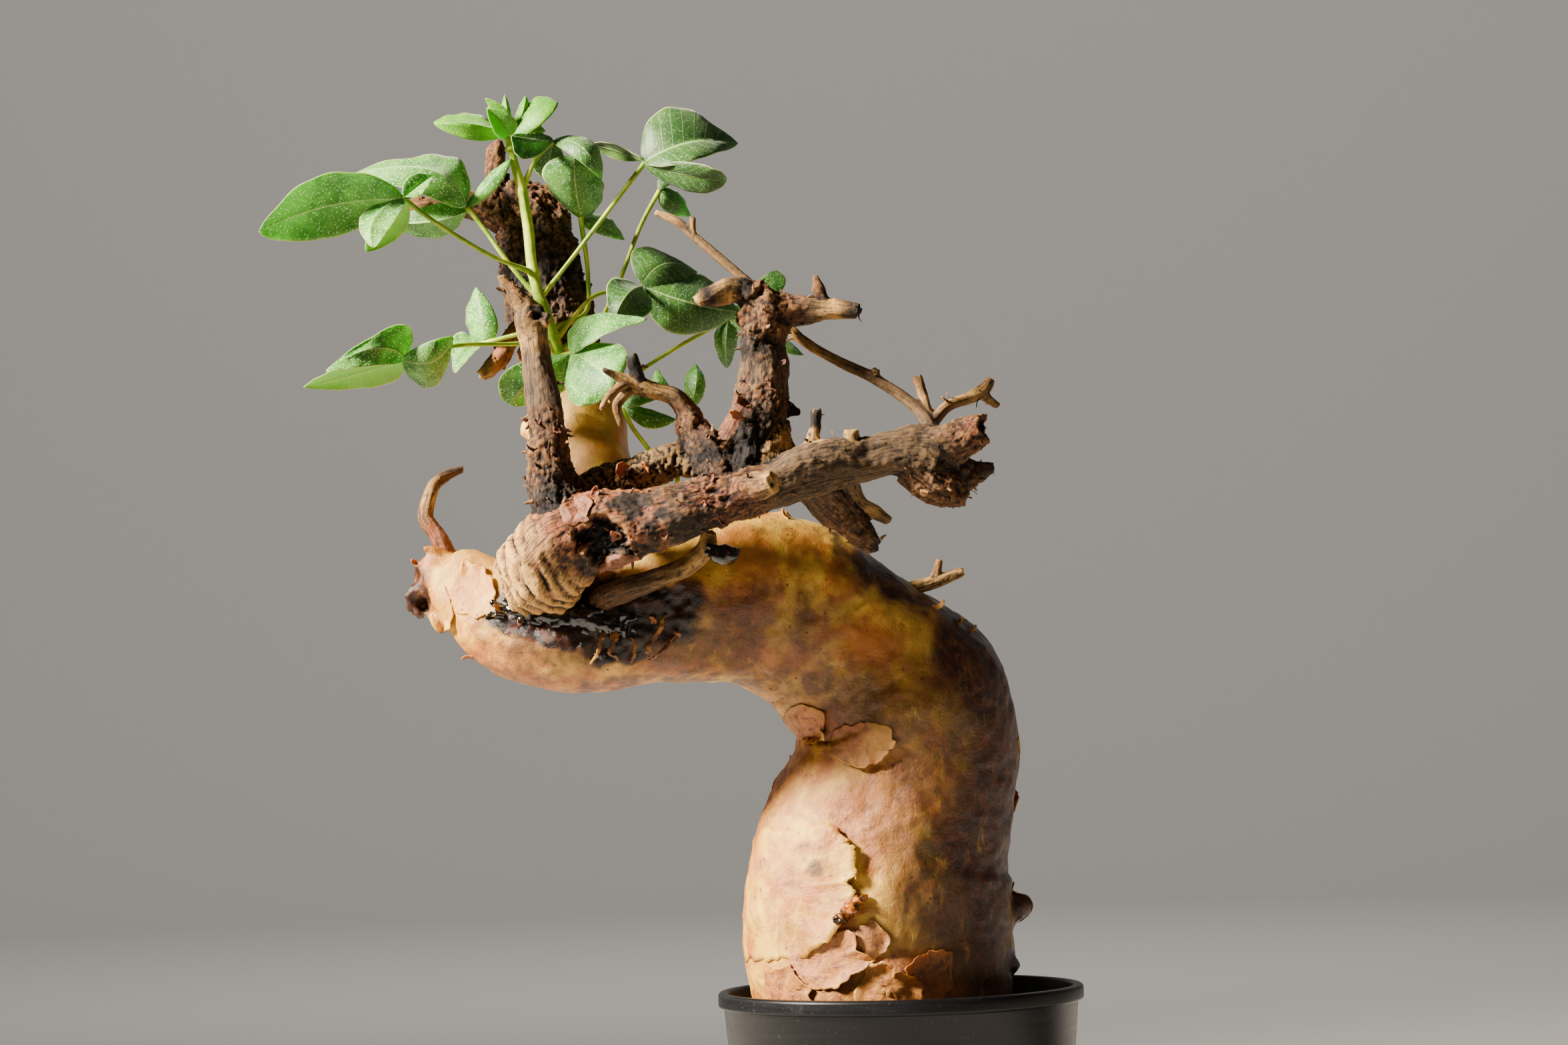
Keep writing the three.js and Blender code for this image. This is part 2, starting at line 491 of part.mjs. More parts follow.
const LEAVES = {
  leaf_upper_right: {
    stalk: [[-112, 3, 336], [-107, 4, 342], [-92, 8, 361], [-77, 10, 380]],
    blades: [
      [[-77, 10, 380], [-46, 22, 387], [-69, 16, 399], [-61, 0, 379], [-62, 8, 386]],
      [[-77, 9, 379], [-50, 0, 372], [-57, -6, 377], [-61, 4, 369], [-61, 0, 374]],
      [[-78, 10, 381], [-96, 28, 389], [-87, 16, 387], [-89, 27, 384], [-87, 22, 386]],
    ],
  },
  leaf_far_left: {
    stalk: [[-115, 4, 344], [-121, -3, 346], [-128, -6, 349], [-146, -18, 360], [-155, -22, 367]],
    blades: [
      [[-155, -22, 367], [-200, -40, 356], [-178, -38, 374], [-182, -24, 354], [-179, -27, 365]],
      [[-155, -23, 367], [-163, -46, 349], [-168, -34, 360], [-157, -40, 357], [-163, -38, 359]],
      [[-155, -21, 367], [-168, -12, 351], [-166, -16, 357], [-156, -10, 357], [-161, -13, 359]],
      [[-155, -21, 367], [-146, -12, 375], [-153, -16, 375], [-148, -22, 369], [-150, -15, 372]],
    ],
  },
  leaf_arching: {
    stalk: [[-112, 3, 334], [-118, 3, 341], [-124, 2, 349], [-130, 2, 358], [-136, 2, 366]],
    blades: [
      [[-136, 2, 366], [-175, 2, 377], [-144, 14, 385], [-156, -6, 372], [-148, -4, 378]],
      [[-136, 2, 366], [-121, 4, 382], [-130, 8, 376], [-126, 2, 372], [-128, 2, 374]],
      [[-136, 3, 365], [-163, 14, 363], [-148, 9, 368], [-148, 13, 357], [-148, 6, 362]],
    ],
  },
  leaf_lower_left: {
    stalk: [[-108, 4, 321], [-121, -2, 320], [-140, -14, 319], [-156, -28, 314]],
    blades: [
      [[-155, -28, 314], [-179, -46, 310], [-157, -34, 325], [-167, -44, 311], [-164, -40, 317]],
      [[-156, -27, 314], [-188, -30, 306], [-173, -36, 312], [-165, -20, 306], [-172, -26, 310]],
      [[-156, -28, 314], [-140, -20, 321], [-145, -32, 320], [-147, -22, 305], [-146, -31, 313]],
    ],
  },
  leaf_back_left: {
    stalk: [[-109, 4, 324], [-118, 5, 324], [-128, 6, 322], [-133, 8, 321]],
    blades: [
      [[-132, 8, 321], [-134, 10, 340], [-138, 14, 329], [-127, 6, 328], [-132, 6, 329]],
      [[-133, 8, 321], [-141, -2, 311], [-142, 10, 324], [-136, -2, 316], [-139, 2, 318]],
    ],
  },
  leaf_centre: {
    stalk: [[-106, 6, 316], [-104, -4, 316], [-102, -8, 316]],
    blades: [
      [[-102, -8, 316], [-77, -16, 326], [-99, 0, 328], [-92, -20, 320], [-95, -12, 324]],
      [[-102, -9, 316], [-89, -26, 301], [-84, -22, 316], [-102, -16, 299], [-92, -24, 309]],
      [[-102, -8, 316], [-123, -8, 300], [-124, -14, 310], [-107, -4, 303], [-115, -14, 308]],
    ],
  },
  leaf_heart: {
    stalk: [[-108, 4, 321], [-101, 6, 330], [-95, 10, 336], [-88, 14, 338], [-79, 16, 339]],
    blades: [
      [[-79, 15, 339], [-88, -2, 327], [-90, 4, 340], [-77, 4, 329], [-84, 0, 335]],
      [[-79, 16, 340], [-61, 32, 345], [-80, 22, 353], [-68, 20, 340], [-71, 20, 347]],
      [[-78, 16, 339], [-47, 30, 331], [-61, 30, 344], [-68, 16, 323], [-62, 16, 333]],
    ],
  },
  leaf_pale: {
    stalk: [[-109, 4, 325], [-98, 11, 331], [-97, 13, 343], [-99, 15, 363]],
    blades: [
      [[-99, 15, 363], [-100, 2, 382], [-111, 6, 377], [-91, 16, 373], [-100, 4, 373]],
      [[-99, 16, 363], [-85, 26, 356], [-91, 26, 364], [-95, 16, 358], [-92, 18, 360]],
    ],
  },
  leaf_behind: {
    stalk: [[-107, 4, 318], [-97, 8, 323], [-89, 20, 337], [-79, 30, 362], [-73, 34, 373]],
    blades: [
      [[-73, 34, 373], [-63, 42, 365], [-67, 40, 373], [-71, 34, 366], [-69, 34, 369]],
      [[-73, 34, 373], [-66, 44, 384], [-72, 38, 380], [-66, 36, 379], [-69, 36, 379]],
    ],
  },
  leaf_top: {
    stalk: [[-118, 6, 371], [-113, 8, 382], [-107, 8, 388]],
    blades: [
      [[-107, 7, 388], [-120, -9, 388], [-113, 1, 390], [-116, -11, 380], [-114, -4, 387]],
      [[-107, 8, 388], [-91, 0, 374], [-94, 4, 387], [-100, -4, 381], [-97, -4, 384]],
      [[-107, 9, 388], [-110, 22, 377], [-115, 18, 382], [-104, 16, 380], [-109, 16, 382]],
    ],
  },
};

// Leafy stalks that grow straight from the caudex, behind the main branch.
const REAR_SHOOTS = {
  leaf_rear_right: {
    stalk: [[-96, 18, 298], [-80, 24, 312], [-57, 35, 326], [-51, 37, 329]],
    blades: [
      [[-51, 37, 329], [-52, 43, 313], [-56, 39, 322], [-48, 39, 322], [-52, 35, 320]],
      [[-51, 37, 329], [-26, 31, 316], [-38, 35, 326], [-38, 29, 319], [-38, 29, 322]],
      [[-51, 37, 329], [-34, 47, 346], [-41, 45, 342], [-33, 41, 338], [-39, 41, 339]],
    ],
  },
  rear_shoot: {
    stalk: [[-73, -4, 252], [-76, 8, 280], [-84, 10, 293], [-86, 6, 299]],
    blades: [
      [[-86, 6, 299], [-71, 8, 303], [-80, 6, 305], [-79, 0, 299], [-79, 2, 302]],
      [[-86, 6, 299], [-69, 4, 294], [-79, 3, 298], [-78, 0, 291], [-79, 0, 295]],
    ],
  },
  rear_sprig: {
    stalk: [[-70, -4, 252], [-68, 14, 283], [-64, 16, 299]],
    blades: [
      [[-64, 16, 298], [-62, 20, 313], [-66, 18, 307], [-59, 16, 305], [-62, 14, 306]],
      [[-65, 16, 297], [-75, 22, 312], [-76, 20, 304], [-71, 18, 306], [-73, 16, 304]],
    ],
  },
};

const TUFT_STALK = [[-121, 6, 385, 1.4], [-122, 6, 392, 1.6]];
const TUFT_BLADES = [
  [[-122, 6, 389], [-129, 2, 402], [-126, 8, 395], [-121, 2, 397], [-125, 4, 396]],
  [[-122, 5, 389], [-128, -5, 398], [-126, -3, 390], [-119, -4, 394], [-124, -1, 393]],
  [[-122, 7, 389], [-123, 10, 404], [-124, 9, 397], [-121, 9, 397], [-122, 7, 397]],
  [[-121, 7, 390], [-116, 8, 403], [-119, 8, 398], [-115, 8, 397], [-117, 5, 397]],
  [[-121, 6, 390], [-105, 4, 400], [-114, 10, 402], [-111, 0, 392], [-113, 2, 396]],
  [[-121, 7, 389], [-110, 14, 392], [-116, 12, 396], [-115, 8, 389], [-115, 8, 392]],
  [[-123, 6, 391], [-146, 2, 394], [-136, 8, 398], [-134, 0, 388], [-135, -2, 393]],
];

function buildLeaf({ stalk, blades }, clear) {
  const stations = stalk.map((point) => [...point, PETIOLE_RADIUS]);
  const petiole = limb(stations, { sides: 5, gnarl: 0 });
  const joint = ball(stalk.at(-1), new Array(3).fill(PETIOLE_JOINT_RADIUS), 0);
  return mainBody(fuse([petiole, joint, ...blades.map((b) => blade(...b))]).subtract(clear));
}

function buildTuft(clear) {
  const parts = [limb(TUFT_STALK, { sides: 6 }), ...TUFT_BLADES.map((b) => blade(...b))];
  return mainBody(fuse(parts).subtract(clear));
}

// Resin that has run and set in lumps: stations of [x, y, z, radius]

const WOUND_RESIN = [
  [-127, -37, 231, 2.6], [-121, -39.5, 230, 4.2], [-115, -42, 229, 4], [-109, -43.5, 228, 4.6],
  [-103, -43.5, 227, 4.2], [-97, -43.5, 225, 4.4], [-91, -43.5, 224, 3.6], [-85, -44, 223, 2.4],
];
const STUB_RESIN = [[-58, -61, 250, 2], [-57, -62, 248, 3.4], [-54, -62, 247, 3.4], [-51, -61, 247, 2]];
const BASE_RESIN = [[-19, -41, 130, 1], [-17, -41, 132, 1.6], [-14, -41, 134.5, 1.4], [-13, -41, 136, 0.7]];

const buildResin = (run, clear) => mainBody(limb(run, { sides: 9, gnarl: 0.1 }).subtract(clear));

// Assembly

const bonsai = new THREE.Group();
bonsai.name = "potted_commiphora_kataf";

function add(name, solid, finish) {
  const material = new THREE.MeshStandardMaterial({ ...finish, metalness: 0 });
  const mesh = new THREE.Mesh(geometryOf(solid), material);
  mesh.name = name;
  bonsai.add(mesh);
}

const caudex = buildCaudex();
const caudexClear = buildCaudex(CLEARANCE).add(caudex);
const deadBranches = buildDeadBranches(caudexClear);
const shootOptions = { sides: 8, gnarl: 0.02 };
const shoot = mainBody(limb(SHOOT, shootOptions).subtract(caudexClear));
const shootClear = limb(SHOOT, { ...shootOptions, grow: CLEARANCE });
const stemsClear = shootClear.add(caudexClear);
const woodClear = caudexClear.add(buildDeadBranches(caudexClear, CLEARANCE));

add("pot", buildPot(), BLACK_PLASTIC);
add("soil", buildSoil(caudexClear), DARK_SOIL);
add("caudex", caudex, PALE_BARK);
add("dead_branches", deadBranches, DEAD_WOOD);
add("rear_dead_top", buildRearDeadTop(stemsClear), BURNT_WOOD);
add("green_shoot", shoot, GREEN_STEM);
for (const [name, leaf] of Object.entries({ ...LEAVES, ...REAR_SHOOTS })) {
  add(name, buildLeaf(leaf, stemsClear), LEAF_GREEN);
}
add("apical_tuft", buildTuft(shootClear), YOUNG_GREEN);
add("wound_resin", buildResin(WOUND_RESIN, woodClear), SET_RESIN);
add("stub_resin", buildResin(STUB_RESIN, woodClear), SET_RESIN);
add("base_resin", buildResin(BASE_RESIN, caudexClear), SET_RESIN);

export default bonsai;
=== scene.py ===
"""Looks of a potted Commiphora kataf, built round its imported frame.

Lengths in this file are millimetres, in the frame's own axes, and become metres where a mesh is made.
The origin is the centre of the pot's underside, +Z is up and +Y runs away from the face with the dead
branches in front.
"""

import logging
import math
from dataclasses import dataclass, field
from enum import Enum, IntEnum
from typing import NamedTuple, Sequence

import bpy
import numpy as np
from bpy.types import Material, Mesh, Node, NodeSocket, NodeTree, Object
from mathutils import Matrix, Vector
from mathutils.bvhtree import BVHTree


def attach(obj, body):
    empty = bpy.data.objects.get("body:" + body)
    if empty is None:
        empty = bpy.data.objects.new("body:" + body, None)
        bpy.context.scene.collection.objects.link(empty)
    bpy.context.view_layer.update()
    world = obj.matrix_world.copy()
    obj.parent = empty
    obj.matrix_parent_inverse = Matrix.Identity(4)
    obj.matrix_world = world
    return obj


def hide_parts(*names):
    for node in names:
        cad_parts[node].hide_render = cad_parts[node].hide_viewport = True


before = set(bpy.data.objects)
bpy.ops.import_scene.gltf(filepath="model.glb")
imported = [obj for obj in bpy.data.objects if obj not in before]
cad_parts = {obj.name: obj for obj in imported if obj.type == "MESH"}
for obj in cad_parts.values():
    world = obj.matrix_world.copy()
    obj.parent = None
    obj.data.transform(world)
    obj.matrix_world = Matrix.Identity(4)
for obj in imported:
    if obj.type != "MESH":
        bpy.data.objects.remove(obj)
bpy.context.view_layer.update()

LOG = logging.getLogger("commiphora")
MM = 0.001
ROOT = "root"
FAR = 300.0

Array = np.ndarray
Pair = tuple[float, float]
Point = tuple[float, float, float]
Colour = tuple[float, float, float]
Run = tuple[tuple[float, float, float, float], ...]
Feeds = dict[int | str, object]


# Random fields

CORNERS = np.array([[i, j, k] for i in (0, 1) for j in (0, 1) for k in (0, 1)])
NEIGHBOURS = np.array([[i, j, k] for i in (-1, 0, 1) for j in (-1, 0, 1) for k in (-1, 0, 1)])
OCTAVE_TURN = np.array([[0.36, 0.48, -0.8], [-0.8, 0.6, 0.0], [0.48, 0.64, 0.6]])


def scramble(cells: Array, seed: int) -> Array:
    """Turn whole-number cells into random numbers, the same on every run.

    Args:
        cells: Whole numbers, three to a row.
        seed: Which field they belong to.

    Returns:
        A number from 0 to 1 for each row.
    """
    mask = np.uint64(0xFFFFFFFF)
    parts = cells.astype(np.int64).astype(np.uint64)
    mixed = parts[..., 0] * np.uint64(0x8DA6B343)
    mixed ^= parts[..., 1] * np.uint64(0xD8163841)
    mixed ^= parts[..., 2] * np.uint64(0xCB1AB31F)
    mixed = (mixed + np.uint64(seed * 2654435761 % 2**32)) & mask
    mixed = ((mixed ^ (mixed >> np.uint64(15))) * np.uint64(0x2C1B3C6D)) & mask
    mixed = ((mixed ^ (mixed >> np.uint64(12))) * np.uint64(0x297A2D39)) & mask
    return (mixed ^ (mixed >> np.uint64(15))).astype(float) / float(0xFFFFFFFF)


def noise(points: Array, size: float, seed: int = 0, octaves: int = 3) -> Array:
    """Sample a smooth random field.

    Args:
        points: Places, three numbers to a row.
        size: Width of its largest features.
        seed: Which field.
        octaves: How many finer and finer layers it has.

    Returns:
        A number from about -1 to 1 for each point.
    """
    place = points / size
    total = np.zeros(len(points))
    weight = 1.0
    weights = 0.0
    for octave in range(octaves):
        cell = np.floor(place)
        part = place - cell
        part = part**3 * (part * (part * 6 - 15) + 10)
        value = np.zeros(len(points))
        for corner in CORNERS:
            share = np.prod(np.where(corner, part, 1 - part), axis=1)
            value += share * scramble(cell + corner, seed * 13 + octave)
        total += weight * (2 * value - 1)
        weights += weight
        weight *= 0.55
        place = place @ OCTAVE_TURN.T * 2.05
    return np.clip(1.6 * total / weights, -1, 1)


def crackle(points: Array, size: float, seed: int = 0) -> Array:
    """Sample a field of cells parted by cracks.

    Args:
        points: Places, three numbers to a row.
        size: Width of a cell.
        seed: Which field.

    Returns:
        0 on a crack, up to about 1 amid a cell, for each point.
    """
    place = points / size
    cell = np.floor(place)
    first = np.full(len(points), 9.0)
    second = np.full(len(points), 9.0)
    for step in NEIGHBOURS:
        corner = cell + step
        spot = corner + np.stack([scramble(corner, seed * 7 + axis) for axis in range(3)], axis=1)
        gap = np.linalg.norm(place - spot, axis=1)
        second = np.minimum(second, np.maximum(first, gap))
        first = np.minimum(first, gap)
    return np.clip(second - first, 0, 1)


def ease(low: float, high: float, value: Array) -> Array:
    """Rise smoothly from 0 at low to 1 at high."""
    part = np.clip((value - low) / (high - low), 0, 1)
    return part * part * (3 - 2 * part)


def unit(vectors: Array) -> Array:
    """Scale each row to length one."""
    return vectors / np.maximum(np.linalg.norm(vectors, axis=-1, keepdims=True), 1e-9)


# Limbs


class BarkLook(NamedTuple):
    """How one kind of dead wood is coloured, in shares, and how rough it is, in millimetres."""

    pale: float
    rust: float
    char: float
    skin: float
    grain: float
    shag: float
    crack: float
    wrinkle: float


class Bark(Enum):
    """The kinds of surface that the dead wood has."""

    GREY = BarkLook(0.12, 0.08, 0.12, 0.0, 0.3, 0.12, 0.12, 0.0)
    PALE = BarkLook(0.8, 0.1, 0.02, 0.0, 0.2, 0.25, 0.15, 0.2)
    CREAM = BarkLook(1.0, 0.0, 0.0, 0.0, 0.0, 0.0, 0.0, 0.0)
    STRIPED = BarkLook(0.35, 0.05, 0.15, 0.0, 0.25, 0.1, 0.1, 0.9)
    RUST = BarkLook(0.12, 0.85, 0.15, 0.0, 0.25, 0.75, 0.3, 0.2)
    CHAR = BarkLook(0.0, 0.25, 0.9, 0.0, 0.3, 0.8, 0.3, 0.2)
    SKIN = BarkLook(0.05, 0.1, 0.0, 0.95, 0.08, 0.4, 0.05, 0.15)


GREY, PALE, CREAM, STRIPED, RUST, CHAR, SKIN = Bark


@dataclass(frozen=True)
class Limb:
    """One round limb through stations of x, y, z and radius, with its looks from root to tip. Depth
    squeezes it along Y. Gnarl and ragged are the shares of its radius by which its outline wanders and
    its tip is torn.
    """

    stations: Run
    barks: tuple[Bark, ...] = (PALE,)
    depth: float = 1.0
    gnarl: float = 0.05
    ragged: float = 0.0


@dataclass
class Line:
    """A limb's centre line, sampled closely, with the frame that its rings stand on."""

    centre: Array
    along: Array
    across: Array
    away: Array
    radius: Array
    share: Array
    run: Array


def smooth_path(knots: Array, per_span: int) -> Array:
    """Run a centripetal Catmull-Rom curve through knots.

    Args:
        knots: Rows of x, y, z and what goes along, such as a radius.
        per_span: How many steps each span has.

    Returns:
        The curve's points.
    """
    ends = np.vstack([2 * knots[0] - knots[1], knots, 2 * knots[-1] - knots[-2]])
    found = []
    for i in range(1, len(ends) - 2):
        p0, p1, p2, p3 = ends[i - 1 : i + 3]
        gaps = [max(np.linalg.norm(b[:3] - a[:3]) ** 0.5, 1e-4) for a, b in ((p0, p1), (p1, p2), (p2, p3))]
        t1 = (p1 - p0) / gaps[0] - (p2 - p0) / (gaps[0] + gaps[1]) + (p2 - p1) / gaps[1]
        t2 = (p2 - p1) / gaps[1] - (p3 - p1) / (gaps[1] + gaps[2]) + (p3 - p2) / gaps[2]
        t1 = t1 * gaps[1]
        t2 = t2 * gaps[1]
        u = np.arange(per_span)[:, None] / per_span
        cubic = 2 * p1 - 2 * p2 + t1 + t2
        square = -3 * p1 + 3 * p2 - 2 * t1 - t2
        found.append(p1 + t1 * u + square * u**2 + cubic * u**3)
    return np.vstack(found + [knots[-1:]])


def line_of(limb: Limb, step: float) -> Line:
    """Sample a limb's centre line.

    Args:
        limb: The limb.
        step: About how far apart the samples are.

    Returns:
        The sampled line.
    """
    knots = np.array(limb.stations, float)
    longest = max(np.linalg.norm(knots[1:, :3] - knots[:-1, :3], axis=1))
    path = smooth_path(knots, max(2, math.ceil(longest / step)))
    centre = path[:, :3]
    along = unit(np.gradient(centre, axis=0))
    across = np.cross(np.array([0.0, 1.0, 0.0]), along)
    for i in range(1, len(across)):
        if np.linalg.norm(across[i]) < 0.25 or across[i] @ across[i - 1] < 0:
            across[i] = across[i - 1] - along[i] * (along[i] @ across[i - 1])
    across = unit(across)
    share = np.linspace(0, 1, len(centre))
    lengths = np.linalg.norm(np.diff(centre, axis=0), axis=1)
    run = np.concatenate([[0], np.cumsum(lengths)])
    return Line(centre, along, across, np.cross(along, across), path[:, 3], share, run)


@dataclass
class Shell:
    """A closed mesh as arrays: its points, the corners of each face, which of its object's materials it
    has, and what it keeps for each point, by name.
    """

    points: Array
    faces: list[tuple[int, ...]]
    finish: int = 0
    kept: dict[str, Array] = field(default_factory=dict)

    def tones(self, name: str) -> Array:
        """Keep four shares for each point under one name, and give them back to be filled in."""
        self.kept = {name: np.zeros((len(self.points), 4))}
        return self.kept[name]


def tube(rings: Array) -> Shell:
    """Close a stack of rings into a mesh, with a fan over each end.

    Args:
        rings: Points, as rings by sides by three.

    Returns:
        The closed mesh.
    """
    count, sides = rings.shape[:2]
    points = np.vstack([rings.reshape(-1, 3), rings[0].mean(axis=0), rings[-1].mean(axis=0)])
    first = count * sides
    end = first - sides
    faces: list[tuple[int, ...]] = []
    for j in range(sides):
        k = (j + 1) % sides
        faces += [(i + j, i + k, i + sides + k, i + sides + j) for i in range(0, end, sides)]
        faces += [(first, k, j), (first + 1, end + j, end + k)]
    return Shell(points, faces)


def limb_shell(limb: Limb, step: float, seed: float = 0.0) -> Shell:
    """Mesh one limb.

    Args:
        limb: The limb.
        step: About how far apart its points are.
        seed: Which way its outline wanders.

    Returns:
        Its closed mesh.
    """
    line = line_of(limb, step)
    sides = int(np.clip(2 * math.pi * line.radius.max() / step, 10, 120))
    angle = np.linspace(0, 2 * math.pi, sides, endpoint=False)[None, :]
    share = line.share[:, None]
    wander = np.sin(3 * angle + 9 * share + seed) + 0.6 * np.sin(5 * angle - 14 * share + 2 * seed)
    reach = line.radius[:, None] * (1 + limb.gnarl * wander)
    rings = line.centre[:, None, :] + line.across[:, None, :] * (reach * np.cos(angle))[..., None]
    rings = rings + line.away[:, None, :] * (reach * limb.depth * np.sin(angle))[..., None]
    if limb.ragged:
        torn = noise(rings[-1], max(line.radius[-1], 0.6), seed=5, octaves=2) * limb.ragged * line.radius[-1]
        for back, part in ((1, 1.0), (2, 0.5)):
            rings[-back] += line.along[-1] * (torn * part)[:, None]
    return tube(rings)


@dataclass
class LimbFit:
    """Where each point of a surface lies on the limbs under it: on which limb, how far along it as a
    share and in millimetres, the angle round it, and its radius there.
    """

    limb: Array
    share: Array
    run: Array
    angle: Array
    radius: Array

    def wrapped(self, stretch: float) -> Array:
        """Give each point a place that turns with its limb, squeezed lengthwise by stretch."""
        offset = self.limb * 41.7
        across = self.radius * np.cos(self.angle) + offset
        away = self.radius * np.sin(self.angle) - offset
        return np.stack([across, away, self.run / stretch + offset], axis=1)


def fit_limbs(points: Array, limbs: Sequence[Limb], step: float = 1.5) -> LimbFit:
    """Find the limb that each point lies on.

    Args:
        points: Points of a surface.
        limbs: The limbs under it.
        step: How far apart the limbs are sampled.

    Returns:
        The place of each point on its limb.
    """
    lines = [line_of(limb, step) for limb in limbs]
    index = np.concatenate([np.full(len(line.centre), i) for i, line in enumerate(lines)])
    stacked = {name: np.concatenate([getattr(line, name) for line in lines]) for name in Line.__annotations__}
    nearest = np.empty(len(points), int)
    for start in range(0, len(points), 4000):
        block = points[start : start + 4000]
        gaps = np.linalg.norm(block[:, None, :] - stacked["centre"][None], axis=2) - stacked["radius"][None]
        nearest[start : start + 4000] = gaps.argmin(axis=1)
    offset = points - stacked["centre"][nearest]
    sideways = (offset * stacked["across"][nearest]).sum(axis=1)
    backwards = (offset * stacked["away"][nearest]).sum(axis=1)
    onwards = (offset * stacked["along"][nearest]).sum(axis=1)
    run = stacked["run"][nearest] + onwards
    angle = np.arctan2(backwards, sideways)
    return LimbFit(index[nearest], stacked["share"][nearest], run, angle, stacked["radius"][nearest])


# Meshes


def store(mesh: Mesh, name: str, values: Array) -> None:
    """Keep something for each point of a mesh.

    Args:
        mesh: The mesh.
        name: What it is called.
        values: A number for each point, or three that make a place, or four shares.
    """
    width = 1 if values.ndim == 1 else values.shape[1]
    kinds = {1: ("FLOAT", "value"), 3: ("FLOAT_VECTOR", "vector"), 4: ("FLOAT_COLOR", "color")}
    layer = mesh.attributes.new(name, kinds[width][0], "POINT")
    layer.data.foreach_set(kinds[width][1], values.astype(np.float32).ravel())


def make_object(name: str, shells: Sequence[Shell], materials: Sequence[Material]) -> Object:
    """Make one object of several meshes and put it in the scene.

    Args:
        name: Its name.
        shells: Its meshes, which stay apart.
        materials: Its materials.

    Returns:
        The object, smooth shaded, at the origin.
    """
    faces = []
    finishes = []
    start = 0
    for shell in shells:
        faces += [tuple(corner + start for corner in face) for face in shell.faces]
        finishes += [shell.finish] * len(shell.faces)
        start += len(shell.points)
    mesh = bpy.data.meshes.new(name)
    mesh.from_pydata((np.vstack([shell.points for shell in shells]) * MM).tolist(), [], faces)
    mesh.polygons.foreach_set("use_smooth", [True] * len(faces))
    mesh.polygons.foreach_set("material_index", finishes)
    for material in materials:
        mesh.materials.append(material)
    for key in shells[0].kept:
        store(mesh, key, np.concatenate([shell.kept[key] for shell in shells]))
    mesh.update()
    made = bpy.data.objects.new(name, mesh)
    bpy.context.scene.collection.objects.link(made)
    return made


def read_rows(rows: object, name: str) -> Array:
    """Read three numbers from each item of one of a mesh's lists."""
    flat = np.empty(len(rows) * 3, np.float32)
    rows.foreach_get(name, flat)
    return flat.reshape(-1, 3).astype(float)


def read_points(mesh: Mesh) -> Array:
    """Read a mesh's points in millimetres."""
    return read_rows(mesh.vertices, "co") / MM


def read_normals(mesh: Mesh) -> Array:
    """Read the way that each point of a mesh faces."""
    return read_rows(mesh.vertex_normals, "vector")


def write_points(mesh: Mesh, points: Array) -> None:
    """Move a mesh's points to places in millimetres."""
    mesh.vertices.foreach_set("co", (points * MM).astype(np.float32).ravel())
    mesh.update()


def neighbour_mean(mesh: Mesh, values: Array) -> Array:
    """Average what the neighbours of each point of a mesh hold.

    Args:
        mesh: The mesh, for its edges.
        values: Numbers, one row a point.

    Returns:
        The neighbours' mean, one row a point.
    """
    edges = np.empty(len(mesh.edges) * 2, np.int32)
    mesh.edges.foreach_get("vertices", edges)
    a, b = edges.reshape(-1, 2).T
    count = len(values)
    degree = np.maximum(np.bincount(a, minlength=count) + np.bincount(b, minlength=count), 1)
    columns = [np.bincount(a, column[b], count) + np.bincount(b, column[a], count) for column in values.T]
    return np.stack(columns, axis=1) / degree[:, None]


def hollowness(mesh: Mesh, rounds: int = 4) -> Array:
    """Measure how far each point of a mesh lies in a crease, in millimetres. Ridges are below 0."""
    points = read_points(mesh)
    level = points
    for _ in range(rounds):
        level = neighbour_mean(mesh, level)
    return ((level - points) * read_normals(mesh)).sum(axis=1)


def relaxed(mesh: Mesh, rounds: int, hold: float = 0.53) -> None:
    """Smooth a mesh without shrinking it.

    Args:
        mesh: The mesh.
        rounds: How many times.
        hold: How hard each round pushes back.
    """
    points = read_points(mesh)
    for turn in range(rounds * 2):
        factor = 0.5 if turn % 2 == 0 else -hold
        points += factor * (neighbour_mean(mesh, points) - points)
    write_points(mesh, points)


def grown_together(name: str, shells: Sequence[Shell], voxel: float, materials: Sequence[Material]) -> Object:
    """Grow overlapping closed meshes into one skin of even faces.

    Args:
        name: The new object's name.
        shells: The meshes.
        voxel: Width of the new faces.
        materials: The object's materials.

    Returns:
        The joined object.
    """
    made = make_object(name, shells, materials)
    remesh = made.modifiers.new("grow", "REMESH")
    remesh.mode = "VOXEL"
    remesh.voxel_size = voxel * MM
    remesh.use_smooth_shade = True
    return plain(made)


def plain(made: Object) -> Object:
    """Turn an object's modifiers into its mesh, and remove them."""
    graph = bpy.context.evaluated_depsgraph_get()
    mesh = bpy.data.meshes.new_from_object(made.evaluated_get(graph), depsgraph=graph)
    made.modifiers.clear()
    old = made.data
    made.data = mesh
    mesh.name = made.name
    if old.users == 0:
        bpy.data.meshes.remove(old)
    return made


